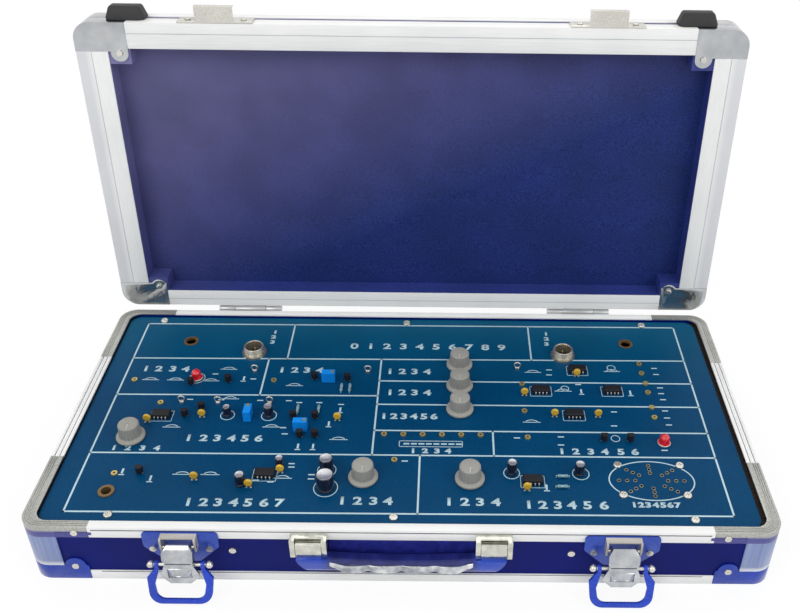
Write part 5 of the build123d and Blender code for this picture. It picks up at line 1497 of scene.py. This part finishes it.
@dataclass
class CaseLid(SubAssembly):
    """The upper half of the case, open and leaning back a little."""

    body: str = "lid"
    hinge: Point = (0, 114.75, 46)
    lean: float = 3.0
    rim: float = -0.3
    half_width: float = 230
    side_width: float = 22
    low: float = 2.75
    high: float = 226.75
    corner: Spot = (36, 20)
    rail_edge: float = 0.4
    foot_edge: float = 1.6
    keeper_edge: float = 0.25
    rivet_edge: float = 0.45
    rim_depth: float = 2.0
    dome_edge: float = 1.6
    dome_rise: float = 0.25
    dome_field: float = 1.2
    dome_dip: float = 0.3
    dome_round: float = 0.5
    top_seam: Spot = (7.5, 0.5)
    low_seam: Spot = (6.0, 0.4)
    side_seam: Spot = (10.5, 0.5)
    seam_rise: float = 0.05
    seam_thickness: float = 0.14
    seam_edge: float = 0.04

    def build(self) -> None:
        """Dress the lid's panel, walls, rails, corners, feet and fittings."""
        self.coat("lid_panel", LINING_NAVY)
        # The recess's walls and corner blocks get the lighter lining: painted light over their shade
        for node in ("lid_walls", "lid_corner_blocks"):
            self.coat(node, LINING_WALL_LIGHTENED)
        rails = self.round_over("lid_rails", RAIL_ALONG, self.rail_edge)
        side = self.half_width - self.side_width
        Bench.coat_where(rails, RAIL_UPWARD, lambda place: abs(place.x) > side - 0.5)
        self.round_over("lid_feet", RUBBER_BLACK, self.foot_edge)
        self.round_over("lid_keepers", RIVET_BRIGHT, self.keeper_edge)
        self.round_over("lid_rivets", RIVET_BRIGHT, self.rivet_edge)
        self.shape_corners()
        self.add_seams()

    def stand(self, piece: bpy.types.Object) -> bpy.types.Object:
        """Move a piece drawn on the lid's rim plane to the open lid.

        Args:
            piece: The piece, drawn with Y up the lid and Z out of its rim.

        Returns:
            The piece.
        """
        place = Matrix.Translation(Vector(self.hinge) * MM)
        piece.data.transform(place @ Matrix.Rotation(math.radians(90 - self.lean), 4, "X"))
        return piece

    def shape_corners(self) -> None:
        """Press a raised dome into each silver corner of the rim."""
        corners = Bench.cast("lid_corner_balls", "lid_corner_domes")
        facing = Vector((0, -math.cos(math.radians(self.lean)), math.sin(math.radians(self.lean))))
        start = Vector(self.hinge) * MM

        def on_rim(place: Vector, normal: Vector) -> bool:
            """Tell a face on the rim's side of a corner."""
            level = (place - start).dot(facing)
            return normal.dot(facing) > 0.98 and level > -self.rim_depth * MM

        Bench.choose(corners, on_rim)
        bpy.ops.mesh.inset(thickness=self.dome_edge * MM)
        bpy.ops.transform.translate(value=facing * self.dome_rise * MM)
        bpy.ops.mesh.inset(thickness=self.dome_field * MM)
        bpy.ops.transform.translate(value=facing * -self.dome_dip * MM)
        bpy.ops.object.mode_set(mode="OBJECT")
        Bench.round_edges(corners, self.dome_round, 3, 25)
        Bench.smooth(corners, 50)
        self.mount(corners, CORNER_SILVER, "", "lid_corner_balls")

    def add_seams(self) -> None:
        """Draw the fine seam that runs along each rail of the rim, as a grey strip of painted shade."""
        seams = []
        across = self.half_width - self.corner[0]
        level = self.rim + self.seam_rise
        thick = self.seam_thickness
        for up, width in (
            (self.high - self.top_seam[0], self.top_seam[1]),
            (self.low + self.low_seam[0], self.low_seam[1]),
        ):
            seams.append(Bench.block("seam", (0, up, level), (2 * across, width, thick), self.seam_edge, 1))
        middle = (self.high + self.low) / 2
        length = self.high - self.low - 2 * self.corner[1]
        inset, width = self.side_seam
        for side in (-1, 1):
            centre = (side * (self.half_width - inset), middle, level)
            seams.append(Bench.block("seam", centre, (width, length, thick), self.seam_edge, 1))
        self.mount(self.stand(Bench.join("lid_seams", seams)), SEAM_SOFT)


@dataclass
class Hinges(SubAssembly):
    """The two hinges at the back."""

    leaf_edge: float = 0.15

    def build(self) -> None:
        """Dress the leaves and the pins."""
        self.round_over("hinge_base_leaves", HINGE_METAL, self.leaf_edge)
        self.round_over("hinge_lid_leaves", HINGE_METAL, self.leaf_edge, "lid")
        self.coat("hinge_pins", HINGE_METAL)


@dataclass
class Latches(SubAssembly):
    """The two toggle latches: plate, lever, axle and bail."""

    places: dict[str, float] = field(default_factory=lambda: {"left": -133.0, "right": 133.0})
    plate_edge: float = 0.25
    lever_edge: float = 0.4
    lever_face: float = -124.0
    bail_lean: float = 21.5
    bail_inner_corner: float = 13.9
    bail_corner_heights: Spot = (3.0, 6.0)
    bail_corner_round: float = 4.5
    bail_edge: float = 0.5
    pad_level: float = 20.4
    pad_size: Point = (14.5, 0.5, 8.2)
    pad_edge: float = 0.2
    pad_margin: float = 1.4
    pad_rise: float = 0.3
    pad_taper: Point = (0.9, 1, 0.8)
    groove_level: float = 28.4
    groove_size: Point = (15.4, 0.24, 0.7)
    groove_edge: float = 0.08

    def build(self) -> None:
        """Dress the plates, levers, axles and bails."""
        self.round_over("latch_plates", PLATE_BLUE, self.plate_edge)
        self.coat("pivot_pins", RIVET_BRIGHT)
        for end in self.places:
            self.round_over(f"latch_lever_{end}", LEVER_CHROME, self.lever_edge, f"lever_{end}")
            self.add_lever_relief(end)
            self.coat(f"latch_axle_{end}", RIVET_BRIGHT)
            self.shape_bail(end)

    def shape_bail(self, end: str) -> None:
        """Round the inner corners of a bail, then its edges.

        Args:
            end: Side of the case that the bail is on.
        """
        node = f"latch_bail_{end}"
        bail = Bench.cast(node, f"{node}_rounded")
        lean = math.radians(self.bail_lean)
        through = (0, -math.cos(lean), math.sin(lean))
        reach = self.bail_inner_corner

        def inner_corner(place: Vector) -> bool:
            """Tell an edge at one of the bail's inner corners."""
            low, high = self.bail_corner_heights
            return low < place.z < high and abs(abs(place.x - self.places[end]) - reach) < 0.5

        Bench.round_outline(bail, through, self.bail_corner_round, inner_corner)
        Bench.round_edges(bail, self.bail_edge)
        Bench.smooth(bail, 40)
        self.mount(bail, BAIL_BLUE, f"bail_{end}", node)

    def add_lever_relief(self, end: str) -> None:
        """Press a raised pad into a lever's tongue, and lay a dark strip across its waist as painted shade
        of a groove.

        Args:
            end: Side of the case that the lever is on.
        """
        across = self.places[end]
        place = (across, self.lever_face, self.pad_level)
        pad = Bench.block(f"lever_pad_{end}", place, self.pad_size, self.pad_edge)
        Bench.choose(pad, lambda place, normal: normal.y < -FACING)
        bpy.ops.mesh.inset(thickness=self.pad_margin * MM)
        bpy.ops.transform.translate(value=(0, -self.pad_rise * MM, 0))
        pivot = (across * MM, 0, self.pad_level * MM)
        bpy.ops.transform.resize(value=self.pad_taper, center_override=pivot)
        bpy.ops.object.mode_set(mode="OBJECT")
        Bench.smooth(pad, 60)
        self.mount(pad, LEVER_CHROME, f"lever_{end}")
        place = (across, self.lever_face, self.groove_level)
        groove = Bench.block(f"lever_groove_shade_{end}", place, self.groove_size, self.groove_edge, 1)
        self.mount(groove, SEAM_DARK, f"lever_{end}")


@dataclass
class CarryHandle(SubAssembly):
    """The carrying handle, its brackets and the glossy plate behind it."""

    bracket_edge: float = 0.35
    grip_edge: float = 0.5
    band_half: float = 43.0
    band_proud: float = 0.3
    band_steps: int = 144
    corner_steps: int = 6
    waves: int = 4
    wave_half: float = 40.0
    wave_fall: float = 1.0
    wave_swell: float = 1.4
    ease_length: float = 3.0
    rise_start: float = 30.0
    rise_low: float = 3.4
    top_drop: float = 2.4
    low_round: float = 2.6
    top_round: float = 0.7
    back_slack: float = 0.3
    wall_front: float = -112.0
    grip_top: float = 28.2
    grip_low: float = 20.2
    grip_back: float = 1.4
    grip_front: float = 9.4

    def build(self) -> None:
        """Dress the brackets, grip and plate, and wrap the bright band round the grip."""
        self.round_over("handle_brackets", BRACKET_CHROME, self.bracket_edge)
        self.coat("handle_backplate", PLATE_GLOSS)
        self.coat("handle_ferrules", BRACKET_CHROME)
        self.round_over("handle_grip", GRIP_BLUE, self.grip_edge, "handle")
        self.add_band()

    def add_band(self) -> None:
        """Wrap the bright wavy band round the middle of the grip."""
        rings = []
        for step in range(self.band_steps + 1):
            x = self.band_half * (2 * step / self.band_steps - 1)
            wave = abs(math.sin(math.pi * self.waves * (x + self.wave_half) / (2 * self.wave_half)))
            ease = min(1.0, (self.band_half - abs(x)) / self.ease_length)
            rise = max(0.0, (abs(x) - self.rise_start) / (self.band_half - self.rise_start)) ** 2
            top = self.grip_top - self.top_drop * (1 - rise) + self.band_proud
            low = self.grip_low - (self.wave_fall * wave + self.band_proud) * ease + self.rise_low * rise
            front = self.grip_front + self.band_proud + self.wave_swell * wave * ease
            rings.append(self.band_ring(x, top, low, front))
        band = Bench.skin("grip_band", rings)
        Bench.smooth(band, 50)
        self.mount(band, GRIP_BAND, "handle")

    def band_ring(self, x: float, top: float, low: float, front: float) -> list[Point]:
        """Draw one section of the band, a rectangle with rounded corners.

        Args:
            x: Its place along X, in mm.
            top: Height of its upper side, in mm.
            low: Height of its lower side, in mm.
            front: How far it stands out from the wall, in mm.

        Returns:
            The points round it, in mm.
        """
        wide, tight, slack = self.low_round, self.top_round, self.back_slack
        ring = []
        for corner, (out, up, radius) in enumerate((
            (self.grip_back + wide, low + wide, wide + slack),
            (front - wide, low + wide, wide),
            (front - tight, top - tight, tight),
            (self.grip_back + tight - slack, top - tight, tight),
        )):
            for part in range(self.corner_steps):
                turn = math.radians(180 + 90 * corner + 90 * part / (self.corner_steps - 1))
                along = self.wall_front - out - radius * math.cos(turn)
                ring.append((x, along, up + radius * math.sin(turn)))
        return ring


@dataclass(frozen=True)
class Lamp:
    """A soft studio lamp: its place in m, its size in m and its power in W."""

    name: str
    place: Point
    size: float
    power: float


@dataclass
class Studio:
    """The white room, its lamps and the camera."""

    lamps: tuple[Lamp, ...] = (
        Lamp("key", (-0.9, -1.1, 1.5), 1.1, 7.6),
        Lamp("fill", (1.2, -0.9, 1.1), 1.1, 4.8),
        Lamp("back", (0.1, 1.1, 1.5), 1.2, 3.0),
    )
    focal_pixels: float = 944.0
    image_width: float = 800.0
    image_height: float = 613.0
    middle_pixel: Spot = (450.9, 282.7)
    eye: Point = (25.3, -497.9, 482.5)
    pitch: float = -33.77
    yaw: float = -0.32
    roll: float = -0.79
    aim: Point = (0, 0, 0.05)
    floor_size: float = 60.0
    floor_drop: float = 0.0002
    floor_colour: Colour = (0.86, 0.86, 0.87)
    floor_glow: float = 1.04
    floor_glow_share: float = 0.86
    horizon_colour: Colour = (0.34, 0.35, 0.38)
    zenith: float = 0.75
    sky_strength: float = 0.85

    def build(self) -> None:
        """Set up floor, world, lamps, camera and view."""
        bpy.context.scene.view_settings.view_transform = "Standard"
        self.lay_floor()
        self.light_world()
        for lamp in self.lamps:
            self.hang(lamp)
        self.place_camera()
        LOG.info("the studio is set up")

    @staticmethod
    def bright_rays(tree: bpy.types.NodeTree) -> bpy.types.NodeSocket:
        """Tell the rays that see the background white: camera, glossy and transmission rays.

        Args:
            tree: Node tree that needs to know.

        Returns:
            1 for such a ray, otherwise 0.
        """
        ray = tree.nodes.new("ShaderNodeLightPath")
        told = ray.outputs["Is Camera Ray"]
        for kind in ("Is Glossy Ray", "Is Transmission Ray"):
            either = tree.nodes.new("ShaderNodeMath")
            either.operation = "MAXIMUM"
            tree.links.new(told, either.inputs[0])
            tree.links.new(ray.outputs[kind], either.inputs[1])
            told = either.outputs["Value"]
        return told

    def lay_floor(self) -> None:
        """Lay a wide white floor that keeps the shadow."""
        Bench.clear()
        bpy.ops.mesh.primitive_plane_add(size=self.floor_size, location=(0, 0, -self.floor_drop))
        floor = bpy.context.object
        floor.name = "floor"
        finish = bpy.data.materials.new("floor_white")
        finish.use_nodes = True
        tree = finish.node_tree
        tree.nodes.clear()
        new, link = tree.nodes.new, tree.links.new
        matt = new("ShaderNodeBsdfDiffuse")
        matt.inputs["Color"].default_value = (*self.floor_colour, 1)
        bright = new("ShaderNodeEmission")
        bright.inputs["Color"].default_value = (1, 1, 1, 1)
        bright.inputs["Strength"].default_value = self.floor_glow
        share = new("ShaderNodeMath")
        share.operation = "MULTIPLY"
        share.inputs[1].default_value = self.floor_glow_share
        link(self.bright_rays(tree), share.inputs[0])
        mixed = new("ShaderNodeMixShader")
        link(share.outputs["Value"], mixed.inputs["Fac"])
        link(matt.outputs["BSDF"], mixed.inputs[1])
        link(bright.outputs["Emission"], mixed.inputs[2])
        output = new("ShaderNodeOutputMaterial")
        link(mixed.outputs["Shader"], output.inputs["Surface"])
        floor.data.materials.append(finish)

    def light_world(self) -> None:
        """Light the room evenly and show it white."""
        world = bpy.data.worlds.new("white_room")
        bpy.context.scene.world = world
        world.use_nodes = True
        tree = world.node_tree
        tree.nodes.clear()
        new, link = tree.nodes.new, tree.links.new
        heading = new("ShaderNodeTexCoord")
        split = new("ShaderNodeSeparateXYZ")
        link(heading.outputs["Generated"], split.inputs["Vector"])
        sky = new("ShaderNodeValToRGB")
        sky.color_ramp.elements[0].position = 0.0
        sky.color_ramp.elements[0].color = (*self.horizon_colour, 1)
        sky.color_ramp.elements[1].position = self.zenith
        sky.color_ramp.elements[1].color = (1, 1, 1, 1)
        link(split.outputs["Z"], sky.inputs["Fac"])
        plain = new("ShaderNodeBackground")
        plain.inputs["Strength"].default_value = self.sky_strength
        link(sky.outputs["Color"], plain.inputs["Color"])
        white = new("ShaderNodeBackground")
        white.inputs["Color"].default_value = (1, 1, 1, 1)
        white.inputs["Strength"].default_value = 1.0
        mixed = new("ShaderNodeMixShader")
        link(self.bright_rays(tree), mixed.inputs["Fac"])
        link(plain.outputs["Background"], mixed.inputs[1])
        link(white.outputs["Background"], mixed.inputs[2])
        output = new("ShaderNodeOutputWorld")
        link(mixed.outputs["Shader"], output.inputs["Surface"])

    def hang(self, lamp: Lamp) -> None:
        """Hang a soft lamp that points at the trainer.

        Args:
            lamp: The lamp.
        """
        light = bpy.data.lights.new(lamp.name, "AREA")
        light.shape = "DISK"
        light.size = lamp.size
        light.energy = lamp.power
        holder = bpy.data.objects.new(lamp.name, light)
        bpy.context.collection.objects.link(holder)
        holder.location = lamp.place
        sight = Vector(self.aim) - Vector(lamp.place)
        holder.rotation_euler = sight.to_track_quat("-Z", "Y").to_euler()

    def place_camera(self) -> None:
        """Place the camera where the photograph was taken from."""
        lens = bpy.data.cameras.new("camera")
        lens.sensor_width = 36
        lens.lens = self.focal_pixels * lens.sensor_width / self.image_width
        lens.shift_x = (self.image_width / 2 - self.middle_pixel[0]) / self.image_width
        lens.shift_y = (self.middle_pixel[1] - self.image_height / 2) / self.image_width
        lens.clip_start = 0.01
        lens.clip_end = 100
        camera = bpy.data.objects.new("camera", lens)
        bpy.context.collection.objects.link(camera)
        turn = (
            Matrix.Rotation(math.radians(self.yaw), 4, "Z")
            @ Matrix.Rotation(math.radians(self.pitch), 4, "X")
            @ Matrix.Rotation(math.radians(self.roll), 4, "Y")
            @ Matrix.Rotation(math.pi / 2, 4, "X")
        )
        camera.matrix_world = Matrix.Translation(Vector(self.eye) * MM) @ turn
        bpy.context.scene.camera = camera


def main() -> None:
    """Dress every sub-assembly, then set up the studio."""
    logging.basicConfig(level=logging.INFO, format="%(name)s: %(message)s")
    for part in (
        CaseBase(), PanelPrint(), TrainingPanel(), Controls(), SpeakerGrille(), CaseLid(), Hinges(),
        Latches(), CarryHandle(),
    ):
        part.build()
        LOG.info("%s is done", type(part).__name__)
    Studio().build()


if __name__ == "__main__":
    main()
